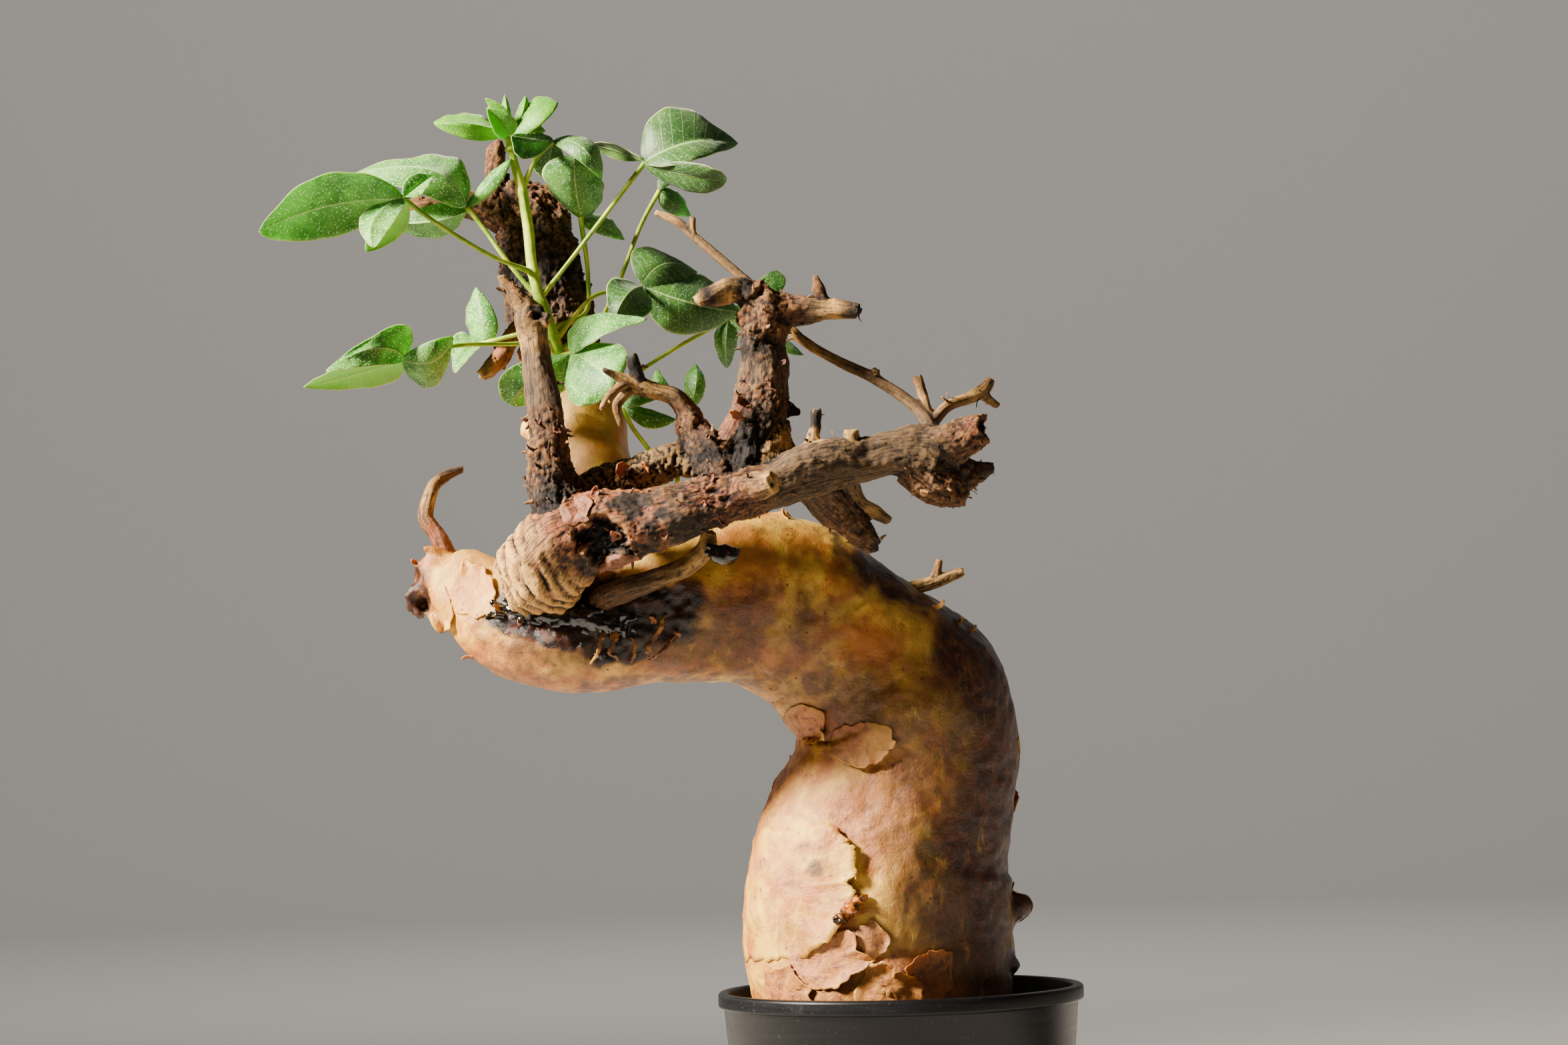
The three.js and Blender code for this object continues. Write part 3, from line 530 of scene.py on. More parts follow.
def closed_sheet(grid: Array, thickness: float | Array) -> Shell:
    """Give a grid of points a thickness and close its edge.

    Args:
        grid: Rows by columns by three.
        thickness: How thick it is, or rows by columns by one of that.

    Returns:
        The closed mesh, which keeps each point's share along the rows and the columns, and 1 underneath.
    """
    rows, columns = grid.shape[:2]
    down = np.gradient(grid, axis=0)
    over = np.gradient(grid, axis=1)
    facing = unit(np.cross(over, down))
    top = (grid + facing * thickness / 2).reshape(-1, 3)
    bottom = (grid - facing * thickness / 2).reshape(-1, 3)
    half = rows * columns
    faces: list[tuple[int, ...]] = []
    for i in range(rows - 1):
        for j in range(columns - 1):
            a = i * columns + j
            faces.append((a, a + 1, a + columns + 1, a + columns))
            faces.append((half + a, half + a + columns, half + a + columns + 1, half + a + 1))
    index = np.arange(half).reshape(rows, columns)
    border = np.concatenate([index[0], index[1:, -1], index[-1, -2::-1], index[-2:0:-1, 0]]).tolist()
    faces += [(a, half + a, half + b, b) for a, b in zip(border, border[1:] + border[:1])]
    shell = Shell(np.vstack([top, bottom]), faces)
    shares = shell.tones("sheet_shares")
    shares[:, 0] = np.tile(np.repeat(np.linspace(0, 1, rows), columns), 2)
    shares[:, 1] = np.tile(np.linspace(0, 1, columns), 2 * rows)
    shares[half:, 2] = 1
    return shell


class Skin:
    """The surface of a finished piece, for setting other things on."""

    def __init__(self, piece: Object) -> None:
        """Read the surface of a piece whose mesh is final."""
        points = read_points(piece.data)
        faces = [tuple(polygon.vertices) for polygon in piece.data.polygons]
        self.tree = BVHTree.FromPolygons([tuple(p) for p in points], faces)

    def hit(self, start: Vector, heading: Vector) -> tuple[Array, Array]:
        """Find where a line meets the surface, or else comes nearest to it, and the way that it faces."""
        point, normal, _, _ = self.tree.ray_cast(start, heading)
        if point is None:
            return self.nearest(start + heading * FAR)
        return np.array(point), np.array(normal)

    def nearest(self, place: Sequence[float]) -> tuple[Array, Array]:
        """Find the surface point nearest to a place, and the way that it faces."""
        point, normal, _, _ = self.tree.find_nearest(Vector(place))
        return np.array(point), np.array(normal)


# Materials


def srgb(red: int, green: int, blue: int) -> Colour:
    """Turn a colour as seen, from 0 to 255, into linear light."""
    parts = [value / 255 for value in (red, green, blue)]
    linear = [part / 12.92 if part <= 0.04045 else ((part + 0.055) / 1.055) ** 2.4 for part in parts]
    return linear[0], linear[1], linear[2]


def add_node(tree: NodeTree, kind: str, feeds: Feeds, **settings: object) -> Node:
    """Add a node to a tree.

    Args:
        tree: The tree.
        kind: What node it is.
        feeds: What its inputs get, by name or number: another node's output, or a fixed value.
        settings: Its properties.

    Returns:
        The new node.
    """
    made = tree.nodes.new(kind)
    for name, value in settings.items():
        setattr(made, name, value)
    for name, value in feeds.items():
        socket = made.inputs[name]
        if isinstance(value, Pattern):
            value = value.socket
        if isinstance(value, NodeSocket):
            tree.links.new(value, socket)
        elif isinstance(value, tuple) and len(value) < len(socket.default_value):
            socket.default_value = (*value, 1.0)
        else:
            socket.default_value = value
    return made


@dataclass(frozen=True)
class Pattern:
    """A number that varies over a surface. Sums, differences and products stay between 0 and 1."""

    paint: "Painter"
    socket: NodeSocket

    def __add__(self, other: object) -> "Pattern":
        """Add a pattern or a number."""
        return self.paint.calc("ADD", self, other)

    def __sub__(self, other: object) -> "Pattern":
        """Take a pattern or a number away."""
        return self.paint.calc("SUBTRACT", self, other)

    def __rsub__(self, other: object) -> "Pattern":
        """Take this pattern away from a number."""
        return self.paint.calc("SUBTRACT", other, self)

    def __mul__(self, other: object) -> "Pattern":
        """Scale by a pattern or a number."""
        return self.paint.calc("MULTIPLY", self, other)

    def between(self, low: float, high: float) -> "Pattern":
        """Rise smoothly from 0 at low to 1 at high, or fall where low is above high.

        Args:
            low: Where the result is 0.
            high: Where it is 1.

        Returns:
            The new pattern.
        """
        feeds = {"Value": self, "From Min": min(low, high), "From Max": max(low, high),
                 "To Min": float(low > high), "To Max": float(low < high)}
        return self.paint.add("ShaderNodeMapRange", "Result", feeds, interpolation_type="SMOOTHSTEP")


class Painter:
    """Builds one material, coat by coat. Sizes of patterns are in millimetres."""

    def __init__(self, name: str, colour: Colour) -> None:
        """Start a material.

        Args:
            name: Its name.
            colour: Its first coat.
        """
        self.material = bpy.data.materials.new(name)
        self.material.use_nodes = True
        self.tree = self.material.node_tree
        self.tree.nodes.clear()
        self.place = self.add("ShaderNodeTexCoord", "Object", {})
        self.colour: object = colour

    def add(self, kind: str, output: int | str, feeds: Feeds, **settings: object) -> Pattern:
        """Add a node and give one of its outputs."""
        return Pattern(self, add_node(self.tree, kind, feeds, **settings).outputs[output])

    def squeezed(self, shares: Point) -> Pattern:
        """Squeeze the pattern's place along each axis."""
        return self.add("ShaderNodeVectorMath", 0, {0: self.place, 1: shares}, operation="MULTIPLY")

    def noise(
        self, size: float, detail: float = 4, rough: float = 0.6, warp: float = 0, place: object = None
    ) -> Pattern:
        """Add a cloudy pattern.

        Args:
            size: Width of its largest features.
            detail: How many finer layers it has.
            rough: How strong those are.
            warp: How far it is distorted.
            place: Where it is read, if not in the object's own space.

        Returns:
            The pattern, around 0.5.
        """
        feeds = {0: place or self.place, "Scale": 1 / (size * MM), "Detail": detail, "Roughness": rough}
        return self.add("ShaderNodeTexNoise", "Fac", feeds | {"Distortion": warp})

    def cells(self, size: float) -> Pattern:
        """Add a pattern of cells of one size, as the distance from each cell's middle."""
        return self.add("ShaderNodeTexVoronoi", "Distance", {"Vector": self.place, "Scale": 1 / (size * MM)})

    def kept(self, name: str, output: str = "Fac") -> Pattern:
        """Read what the mesh keeps for each of its points under one name."""
        return self.add("ShaderNodeAttribute", output, {}, attribute_name=name)

    def channels(self, name: str) -> list[Pattern]:
        """Read the four shares that the mesh keeps under one name."""
        parts = add_node(self.tree, "ShaderNodeSeparateColor", {0: self.kept(name, "Color")})
        return [*(Pattern(self, output) for output in parts.outputs[:3]), self.kept(name, "Alpha")]

    def calc(self, operation: str, first: object, second: object = 0.0, hold: bool = True) -> Pattern:
        """Combine two numbers, and hold the result between 0 and 1 unless told not to."""
        return self.add("ShaderNodeMath", 0, {0: first, 1: second}, operation=operation, use_clamp=hold)

    def blend(self, share: object, first: object, second: object) -> Pattern:
        """Mix two colours by a share from 0 to 1."""
        return self.add("ShaderNodeMix", 2, {0: share, 6: first, 7: second}, data_type="RGBA")

    def coat(self, share: object, colour: object) -> None:
        """Lay a colour over what is there, by a share from 0 to 1."""
        self.colour = self.blend(share, self.colour, colour)

    def finish(
        self, roughness: object, height: Pattern | None = None, relief: float = 0.3, **constants: object
    ) -> Material:
        """Close the material with its shader.

        Args:
            roughness: How matt it is.
            height: What raises the surface, from 0 to 1.
            relief: How far it is raised.
            constants: Other shader settings, by socket name with _ for spaces.

        Returns:
            The finished material.
        """
        feeds = {"Base Color": self.colour, "Roughness": roughness}
        feeds |= {name.replace("_", " "): value for name, value in constants.items()}
        if height is not None:
            feeds["Normal"] = self.add("ShaderNodeBump", 0, {"Height": height, "Distance": relief * MM})
        shader = self.add("ShaderNodeBsdfPrincipled", 0, feeds)
        add_node(self.tree, "ShaderNodeOutputMaterial", {0: shader})
        return self.material


@dataclass(frozen=True)
class WaxyBark:
    """The living bark: waxy cream, mottled, with pinkish papery parts, resin-wet wounds and painted shade."""

    name: str = "waxy_bark"
    cream: Colour = srgb(238, 186, 68)
    honey: Colour = srgb(188, 112, 40)
    mottle: Colour = srgb(116, 56, 20)
    green: Colour = srgb(168, 144, 66)
    papery: Colour = srgb(196, 124, 62)
    plum: Colour = srgb(128, 76, 60)
    # Dark brown of the bark, also used as painted shade.
    brown: Colour = srgb(46, 20, 7)
    wet: Colour = srgb(18, 11, 8)
    wine: Colour = srgb(66, 28, 14)

    def material(self) -> Material:
        """Build the bark's material from the shares that its mesh keeps."""
        paint = Painter(self.name, self.cream)
        brown, green, papery, wet = paint.channels("bark_shares")
        paint.coat(paint.noise(14, 6, 0.62, 0.6).between(0.36, 0.62), self.honey)
        patches = paint.noise(12, 7, 0.68, 0.5, paint.squeezed((1, 1, 0.75)))
        paint.coat(patches.between(0.5, 0.68) * 0.6, self.mottle)
        paint.coat(green * paint.noise(11, 6, 0.7, 0.6).between(0.3, 0.66), self.green)
        veined = paint.noise(4, 6, 0.7, 1.3).between(0.46, 0.64)
        paint.coat(papery, paint.blend(veined, self.papery, self.plum))
        freckles = paint.cells(2.6).between(0.24, 0.12) * paint.noise(10, 2).between(0.53, 0.62)
        paint.coat(freckles, self.mottle)
        # The brown share, partly the bark's own and partly painted shade: dark brown streaks with reddish
        # flecks.
        streaks = paint.noise(7, 8, 0.72, 0.25, paint.squeezed((1.3, 1.3, 0.5)))
        flecks = paint.noise(3.4, 7, 0.75, 0.8).between(0.44, 0.6) * 0.5
        paint.coat(brown * streaks.between(0.14, 0.48), paint.blend(flecks, self.brown, self.mottle))
        clotted = paint.blend(paint.noise(5, 6, 0.7, 0.6).between(0.46, 0.62), self.wet, self.wine)
        paint.coat(wet.between(0.04, 0.4) * 0.7, self.brown)
        paint.coat(wet.between(0.3, 0.6), clotted)
        # Painted shade: creases are darkened brown.
        paint.coat(paint.kept("hollow").between(0.06, 0.4) * 0.75, self.brown)
        rough = paint.noise(3, 5, 0.7) * 0.4 + 0.14 + papery * 0.16 - wet.between(0.4, 0.8) * 0.3
        grain = paint.noise(1.0, 5, 0.7) * 0.5 + paint.noise(4.5, 5, 0.6) * 0.5
        return paint.finish(rough, grain, 0.7, Subsurface_Weight=0.12,
                            Subsurface_Radius=(1.0, 0.45, 0.15), Subsurface_Scale=2 * MM)


@dataclass(frozen=True)
class DeadWood:
    """Weathered dead wood, mixed from pale, rusty, charred and skin-like kinds, with lengthwise lines."""

    name: str = "dead_wood"
    grey: Colour = srgb(76, 62, 50)
    pale: Colour = srgb(206, 158, 86)
    rust: Colour = srgb(112, 50, 22)
    char: Colour = srgb(18, 12, 9)
    skin: Colour = srgb(158, 88, 50)

    def material(self) -> Material:
        """Build the wood's material from the shares that its mesh keeps."""
        paint = Painter(self.name, self.grey)
        pale, rust, char, skin = paint.channels("wood_shares")
        lines = paint.noise(0.9, 5, 0.65, 0.25, paint.kept("limb_place", "Vector"))
        paint.coat(paint.noise(5, 6, 0.7, 0.5).between(0.6, 0.34) * 0.25, self.char)
        paint.coat(skin, paint.blend(paint.noise(2.4, 6, 0.72, 0.6).between(0.36, 0.6), self.rust, self.skin))
        paint.coat(rust, paint.blend(paint.noise(1.7, 5, 0.72).between(0.44, 0.62), self.rust, self.char))
        paint.coat(pale * paint.noise(2.6, 7, 0.75, 0.5).between(0.34, 0.5), self.pale)
        paint.coat(char, self.char)
        paint.coat(lines.between(0.53, 0.4) * pale.between(1.0, 0.85) * 0.75, self.char)
        hollow = paint.kept("hollow")
        # Painted shade: creases are darkened towards char.
        paint.coat(hollow.between(0.02, 0.2) * 0.9, self.char)
        paint.coat(hollow.between(-0.06, -0.22) * 0.2 * (1.0 - char), self.pale)
        rough = paint.noise(2.5, 3) * 0.3 + 0.6 - skin * 0.16
        grain = lines * 0.55 + paint.noise(0.8, 6, 0.75) * 0.45
        return paint.finish(rough, grain, 0.6, Specular_IOR_Level=0.3)


@dataclass(frozen=True)
class VelvetLeaf:
    """A velvety leaf: pale midrib, faint side veins, and silvery specks of short hairs that are also painted
    glints.
    """

    name: str = "velvet_leaf"
    upper: Colour = srgb(54, 120, 32)
    light: Colour = srgb(108, 172, 62)
    under: Colour = srgb(128, 182, 52)
    vein: Colour = srgb(190, 222, 130)
    # Silvery hairs, also used for painted glints.
    hair_and_glint: Colour = srgb(226, 240, 206)
    tip: Colour = srgb(226, 224, 150)
    # Dark green for painted shade.
    painted_shade_green: Colour = srgb(22, 52, 10)
    side_veins: float = 9.0

    def material(self) -> Material:
        """Build the leaf's material from the shares its mesh keeps: place on the blade, underside and painted
        shade.
        """
        paint = Painter(self.name, self.upper)
        along, across, under, shade = paint.channels("blade_shares")
        off_rib = paint.calc("ABSOLUTE", paint.calc("SUBTRACT", across, 0.5, False), 0.0, False)
        paint.coat(paint.noise(9, 5, 0.6, 0.4).between(0.34, 0.66), self.light)
        paint.coat(under, self.under)
        # Painted shade: a leaf that sits in shade is darkened as a whole.
        paint.coat(shade, self.painted_shade_green)
        slant = paint.calc("ADD", paint.calc("MULTIPLY", along, self.side_veins, False),
                           paint.calc("MULTIPLY", off_rib, -3.2, False), False)
        side = paint.calc("PINGPONG", slant, 0.5, False).between(0.07, 0.0)
        veins = paint.calc("MAXIMUM", side * 0.35, off_rib.between(0.024, 0.004))
        paint.coat(veins * 0.6, self.vein)
        # Specks of short hairs that also serve as painted glints: none on undersides or on leaves in painted
        # shade.
        hair_glint_dots = paint.cells(0.95).between(0.36, 0.2) * paint.noise(1.8, 3, 0.7).between(0.34, 0.52)
        hair_glint_dots = hair_glint_dots * (1.0 - paint.calc("MAXIMUM", under, shade))
        paint.coat(hair_glint_dots * 0.75, self.hair_and_glint)
        paint.coat(off_rib.between(0.475, 0.497) * 0.5, self.tip)
        quilt = paint.noise(2.4, 4) * 0.5 + veins * 0.4 + hair_glint_dots * 0.2
        return paint.finish(paint.noise(1.4, 3) * 0.2 + 0.42, quilt, 0.35, Subsurface_Weight=0.35,
                            Subsurface_Radius=(0.8, 1.6, 0.3), Subsurface_Scale=MM,
                            Sheen_Weight=0.15, Sheen_Roughness=0.4)


@dataclass(frozen=True)
class GreenStem:
    """A smooth living stem, yellow-green, with faint lengthwise lines."""

    green: Colour = srgb(132, 176, 34)
    yellow: Colour = srgb(196, 208, 66)
    speck: Colour = srgb(120, 120, 60)

    def material(self) -> Material:
        """Build the stem's material."""
        paint = Painter("green_stem", self.green)
        clouds = paint.noise(8, 4, 0.6, 0.3).between(0.36, 0.64)
        paint.coat(clouds, self.yellow)
        paint.coat(paint.cells(1.7).between(0.2, 0.08) * 0.5, self.speck)
        grain = paint.noise(0.7, 4, 0.6, 0.0, paint.squeezed((1, 1, 0.18)))
        return paint.finish(clouds * 0.12 + 0.34, grain, 0.15, Subsurface_Weight=0.25,
                            Subsurface_Radius=(0.8, 1.4, 0.3), Subsurface_Scale=MM)


@dataclass(frozen=True)
class PotPlastic:
    """Black satin plastic with faint scuffs round it and a faint dusting all over."""

    black: Colour = srgb(13, 13, 16)
    worn: Colour = srgb(32, 32, 36)
    dust: Colour = srgb(96, 84, 70)

    def material(self) -> Material:
        """Build the plastic's material."""
        paint = Painter("pot_plastic", self.black)
        hoops = paint.noise(1.5, 5, 0.6, 0.0, paint.squeezed((0.06, 0.06, 1.0)))
        scuffs = paint.noise(6, 6, 0.7, 0.8).between(0.56, 0.72)
        paint.coat(hoops.between(0.45, 0.7) * 0.35, self.worn)
        paint.coat(scuffs * 0.3, self.worn)
        paint.coat(paint.noise(1.1, 5, 0.7).between(0.6, 0.7) * 0.35, self.dust)
        grain = hoops * 0.6 + paint.noise(0.5, 3) * 0.4
        return paint.finish(hoops * 0.16 + 0.3 + scuffs * 0.14, grain, 0.08, Specular_IOR_Level=0.22)


@dataclass(frozen=True)
class GrittySoil:
    """Dark mineral potting mix with brown, grey and pale grains."""

    dark: Colour = srgb(40, 28, 20)
    brown: Colour = srgb(96, 68, 46)
    pale: Colour = srgb(152, 134, 108)

    def material(self) -> Material:
        """Build the soil's material."""
        paint = Painter("gritty_soil", self.dark)
        paint.coat(paint.noise(3.0, 3, 0.6).between(0.42, 0.6), self.brown)
        paint.coat(paint.noise(3.6, 2).between(0.56, 0.66) * 0.8, self.pale)
        paint.coat(paint.noise(0.8, 4, 0.7).between(0.5, 0.34), self.dark)
        return paint.finish(0.9, paint.noise(0.5, 5, 0.75), 0.35)


@dataclass(frozen=True)
class SetResin:
    """Resin that has run and set: black and glossy, with patches of amber."""

    name: str = "set_resin"
    black: Colour = srgb(15, 12, 11)
    amber: Colour = srgb(116, 56, 16)
    thin_from: float = 0.58

    def material(self) -> Material:
        """Build the resin's material."""
        paint = Painter(self.name, self.black)
        thin = paint.noise(3.2, 5, 0.65, 0.4).between(self.thin_from, self.thin_from + 0.18)
        paint.coat(thin, self.amber)
        return paint.finish(paint.noise(2, 3) * 0.22 + 0.04, paint.noise(2.4, 2, 0.5), 0.15, Coat_Weight=0.6,
                            Coat_Roughness=0.06)


@dataclass(frozen=True)
class StudioPaper:
    """The plain pale floor and backdrop."""

    tone: Colour = srgb(196, 193, 188)

    def material(self) -> Material:
        """Build the backdrop's material."""
        return Painter("studio_paper", self.tone).finish(0.9)


# Grown wood


@dataclass(frozen=True)
class Patch:
    """A ragged spot of one tone on a piece: which share it raises, where, how wide and how strong."""

    tone: int
    at: Point
    size: Point
    strength: float = 1.0
    ragged: float = 0.4
    blur: float = 0.5

    def share(self, points: Array) -> Array:
        """Give each point its share of the spot."""
        gap = np.linalg.norm((points - self.at) / np.array(self.size), axis=1)
        near = gap < 1.4 + self.ragged
        shares = np.zeros(len(points))
        rough = noise(points[near], min(self.size) * 0.9, seed=int(abs(self.at[0])) + self.tone, octaves=5)
        soft = 0.5 * self.blur
        shares[near] = self.strength * ease(1 + soft, 1 - soft, gap[near] + self.ragged * rough)
        return shares


@dataclass
class Surface:
    """A piece's skin before it is carved: its points, the way they face and where they lie on limbs."""

    points: Array
    facing: Array
    fit: LimbFit


@dataclass
class GrownWood:
    """A piece that stands for a CAD node, grown from limbs into one skin with faces of one width,
    smoothed a few rounds, carved and painted. Where it is seeded, each limb's outline wanders its own
    way.
    """

    name: str
    node: str
    slot: str
    finish: Material
    voxel: float
    rounds: int
    grown: dict[str, Limb] = field(default_factory=dict)
    seeded: bool = True

    def carve(self, skin: Surface) -> tuple[Array, dict[str, Array]]:
        """Work out how far each point is raised, and what it keeps."""
        raise NotImplementedError

    def build(self) -> Object:
        """Grow, carve and paint the piece.

        Returns:
            The finished piece.
        """
        limbs = list(self.grown.values())
        shells = [limb_shell(limb, self.voxel * 1.6, self.seeded * limb.stations[0][0]) for limb in limbs]
        piece = grown_together(self.name, shells, self.voxel, [self.finish])
        mesh = piece.data
        relaxed(mesh, self.rounds)
        points = read_points(mesh)
        skin = Surface(points, read_normals(mesh), fit_limbs(points, limbs))
        raised, kept = self.carve(skin)
        write_points(mesh, points + skin.facing * raised[:, None])
        for name, values in kept.items():
            store(mesh, name, values)
        # Depth in creases, which the materials darken as painted shade.
        store(mesh, "hollow", hollowness(mesh))
        settle(piece, self.slot, self.node)
        return piece


def settle(piece: Object, slot: str, *nodes: str) -> None:
    """Let a piece ride on the plant, hide the CAD nodes that it stands for, and log its face count."""
    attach(piece, ROOT)
    if nodes:
        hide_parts(*nodes)
    LOG.info("%s: %d faces", piece.name, len(piece.data.polygons))


class BarkTone(IntEnum):
    """Which share of the bark each tone is. The brown share is partly painted shade."""

    BROWN = 0
    GREEN = 1
    PAPERY = 2
    WET = 3


BROWN, GREEN, PAPERY, WET = BarkTone


@dataclass
class Caudex(GrownWood):
    """The swollen trunk that bends into a long limb, with its rear stem, knobs and nubs."""

    seeded: bool = False
    grown: dict[str, Limb] = field(default_factory=lambda: {
        "trunk": Limb(((-3, 0, 57, 15), (-3, 0, 70, 28), (-3, 0, 88, 38), (-5, 0, 102, 42.5),
            (-6, 0, 110, 43.5), (-7.3, 0, 120, 43.8), (-7.3, 0, 130, 43.8), (-6.4, 0, 139, 43.3),
            (-5.3, 0, 148, 42.2), (-3, 0, 156, 40.5), (0.5, 0, 166, 38.6), (3.5, 0, 176, 37),
            (4.6, 0, 185, 36.6), (2.8, -1, 197, 36.2), (-3.4, -2, 205, 33.8), (-12.5, -4, 214, 31),
            (-21, -6, 222, 29.5), (-31, -9, 229, 29.5), (-46, -13, 234, 28.3), (-61, -17, 234, 27),
            (-80, -22, 231, 25), (-96, -26, 225, 20.5), (-108, -27, 224, 18.8), (-120, -25, 227, 17.9),
            (-129, -22, 232, 16), (-139, -18, 240, 13.2), (-146, -15, 245, 10.4), (-149, -14, 251, 5.7)),
            depth=0.92, gnarl=0.012),
        "rear_stem": Limb(((-95, -12, 238, 14), (-96, -4, 252, 16), (-98, 6, 268, 16.7),
            (-101, 13, 282, 16.8), (-102, 17, 293, 16.6), (-104, 20, 305, 15.4), (-106, 22, 315, 12.5)),
            gnarl=0.03),
        "low_flake": Limb(((30, -4, 112, 6), (35, -4, 112, 4), (39, -4, 110, 1.2)), depth=2, gnarl=0.03),
        "rear_bud": Limb(((-104, 16, 291, 6), (-115, 15, 292, 5), (-121, 14, 293, 2.5)), gnarl=0.06),
        "low_knob": Limb(((31, 2, 128, 5.7), (39, 2, 130, 4.8), (43, 2, 132, 1.8)), gnarl=0.06),
        "crown_nub": Limb(((-34, -11, 255, 4), (-35, -12, 262, 2.3)), gnarl=0.06),
        "crown_curl": Limb(((19, -6, 221, 2.2), (22, -6, 224, 1.6), (23, -6, 222, 0.8)), gnarl=0.06),
        "head_scale": Limb(((-145, -17, 250, 3), (-149, -19, 253, 2), (-152, -20, 253, 0.8)), gnarl=0.06),
        "head_flake": Limb(((-145, -18, 234, 5), (-147, -19, 229, 3.2), (-147, -19, 225, 0.9)), gnarl=0.06),
        "head_knob": Limb(((-150, -17, 243, 3), (-155, -17, 239, 3.2), (-156, -17, 235, 2.6),
            (-152, -17, 231, 1.8)), gnarl=0.06),
    })
    patches: tuple[Patch, ...] = (
        Patch(GREEN, (4, -40, 140), (13, 20, 28), 0.45, 0.6, 0.9),
        Patch(GREEN, (-50, -25, 252), (24, 24, 12), 0.3, 0.5, 0.9),
        Patch(BROWN, (-32, -40, 228), (16, 14, 12), 0.5, 0.9, 1),
        Patch(GREEN, (-126, -24, 246), (20, 22, 13), 0.75, 0.5, 0.9),
        Patch(GREEN, (-96, 0, 285), (20, 22, 40), 0.7, 0.5, 0.9),
        # Partly brown bark, partly painted shade: the crown's right, the shoulder and the trunk's right side.
        Patch(BROWN, (2, -14, 240), (22, 24, 14), 1, 0.6, 0.6),
        Patch(BROWN, (30, -4, 208), (24, 30, 26), 1, 0.6, 0.7),
        Patch(BROWN, (34, -20, 160), (33, 38, 86), 1, 0.4, 1.5),
        Patch(BROWN, (-30, -28, 178), (24, 26, 8), 0.3, 0.9, 1),
        Patch(PAPERY, (-8, -38, 166), (20, 18, 12), 0.8, 0.9, 0.9),
        Patch(PAPERY, (-44, -20, 168), (12, 22, 16), 0.7, 0.9, 0.9),
        Patch(BROWN, (41, 2, 131), (8, 12, 10)),
        Patch(BROWN, (36, -4, 111), (6, 12, 8)),
        # Partly brown bark, partly painted shade where the trunk turns from the light.
        Patch(BROWN, (12, -36, 172), (13, 18, 26), 0.75, 0.9, 1.2),
        Patch(BROWN, (12, -40, 146), (9, 16, 20), 0.6, 0.9, 1.2),
        # Partly brown bark, partly painted shade under the limb.
        Patch(BROWN, (-14, -34, 198), (28, 18, 15), 0.85, 0.6, 1.2),
        # Painted shadow of the dead branches on the limb.
        Patch(BROWN, (-54, -38, 222), (30, 20, 14), 0.85, 0.6, 1.2),
        Patch(BROWN, (-155, -17, 239), (8, 10, 12)),
        Patch(BROWN, (-108, -42, 222), (13, 10, 5), 0.7, 0.9, 0.9),
        Patch(BROWN, (-56, -34, 206), (44, 22, 5), 0.8, 0.8, 0.8),
        Patch(BROWN, (-8, -36, 206), (4, 8, 3), 0.8, 0.4),
        Patch(PAPERY, (-28, -33, 190), (13, 16, 12), 0.9),
        Patch(PAPERY, (-8, -38, 186), (18, 12, 8), 0.6, 0.6, 0.8),
        Patch(PAPERY, (-112, -30, 212), (28, 26, 12), 0.6, 0.8, 0.9),
        Patch(PAPERY, (-40, -32, 212), (26, 20, 12), 0.4, 0.8, 0.9),
        Patch(PAPERY, (-28, -38, 112), (26, 20, 14), 0.8, 0.5, 0.7),
        Patch(PAPERY, (6, -40, 110), (20, 14, 9), 0.9, 0.6),
        Patch(BROWN, (-92, -42, 229), (42, 16, 12), 0.8, 0.8, 1),
        Patch(WET, (-97, -42, 232), (32, 14, 9), 1, 0.4, 0.6),
        Patch(WET, (-84, -44, 226), (19, 14, 12), 1, 0.5, 0.7),
        Patch(WET, (-106, -45, 225), (9, 14, 6), 1, 0.4, 0.6),
        Patch(WET, (4, -24, 245), (8, 8, 4), 0.7, 0.6),
    )
    wound: Patch = Patch(0, (-90, -45, 229), (26, 15, 13))
    head_scar: Patch = Patch(0, (-154, -17, 238), (8, 9, 11))
    neck: Patch = Patch(0, (-18, -24, 196), (26, 26, 20), 1, 0.3)

    def carve(self, skin: Surface) -> tuple[Array, dict[str, Array]]:
        """Give the bark its lumps, wrinkles and crusty wound, and its tones.

        Args:
            skin: The bark before it is carved.

        Returns:
            How far each point is raised, and the bark's shares.
        """
        points = skin.points
        shares = np.zeros((len(points), 4))
        rear = ease(-10, 25, points[:, 1])
        shares[:, BROWN] = 0.8 * ease(0.3, 0.75, noise(points, 30, 11, 5)) * rear
        shares[:, GREEN] = 0.6 * ease(0, 0.5, noise(points, 48, 12, 2)) * rear
        shares[:, PAPERY] = 0.6 * ease(0.35, 0.6, noise(points, 26, 13, 5)) * rear
        for patch in self.patches:
            shares[:, patch.tone] = np.maximum(shares[:, patch.tone], patch.share(points))
        wet = shares[:, WET]
        crust = np.maximum(self.wound.share(points), self.head_scar.share(points))
        neck = self.neck.share(points)
        folds = np.sin(skin.fit.run / 1.05 + 3 * noise(points, 14, 4)) * noise(points, 9, 5)
        raised = 0.7 * noise(points, 15, 1) + 0.3 * noise(points, 5, 2) + 0.1 * noise(points, 2.2, 3, 2)
        raised += 0.28 * neck * folds + 0.08 * folds
        raised += crust * (1.3 * noise(points, 4.2, 6) + 1.2 * (crackle(points, 4.5, 7) - 0.45))
        raised -= 1.3 * crust * wet
        raised += 0.4 * shares[:, PAPERY] * ease(-0.1, 0.1, noise(points, 9, 8, 5))
        return np.where(skin.fit.limb == 1, 0.5 * raised, raised), {"bark_shares": shares}


class WoodTone(IntEnum):
    """Which share of the dead wood each tone is."""

    PALE = 0
    RUST = 1
    CHAR = 2
    SKIN = 3


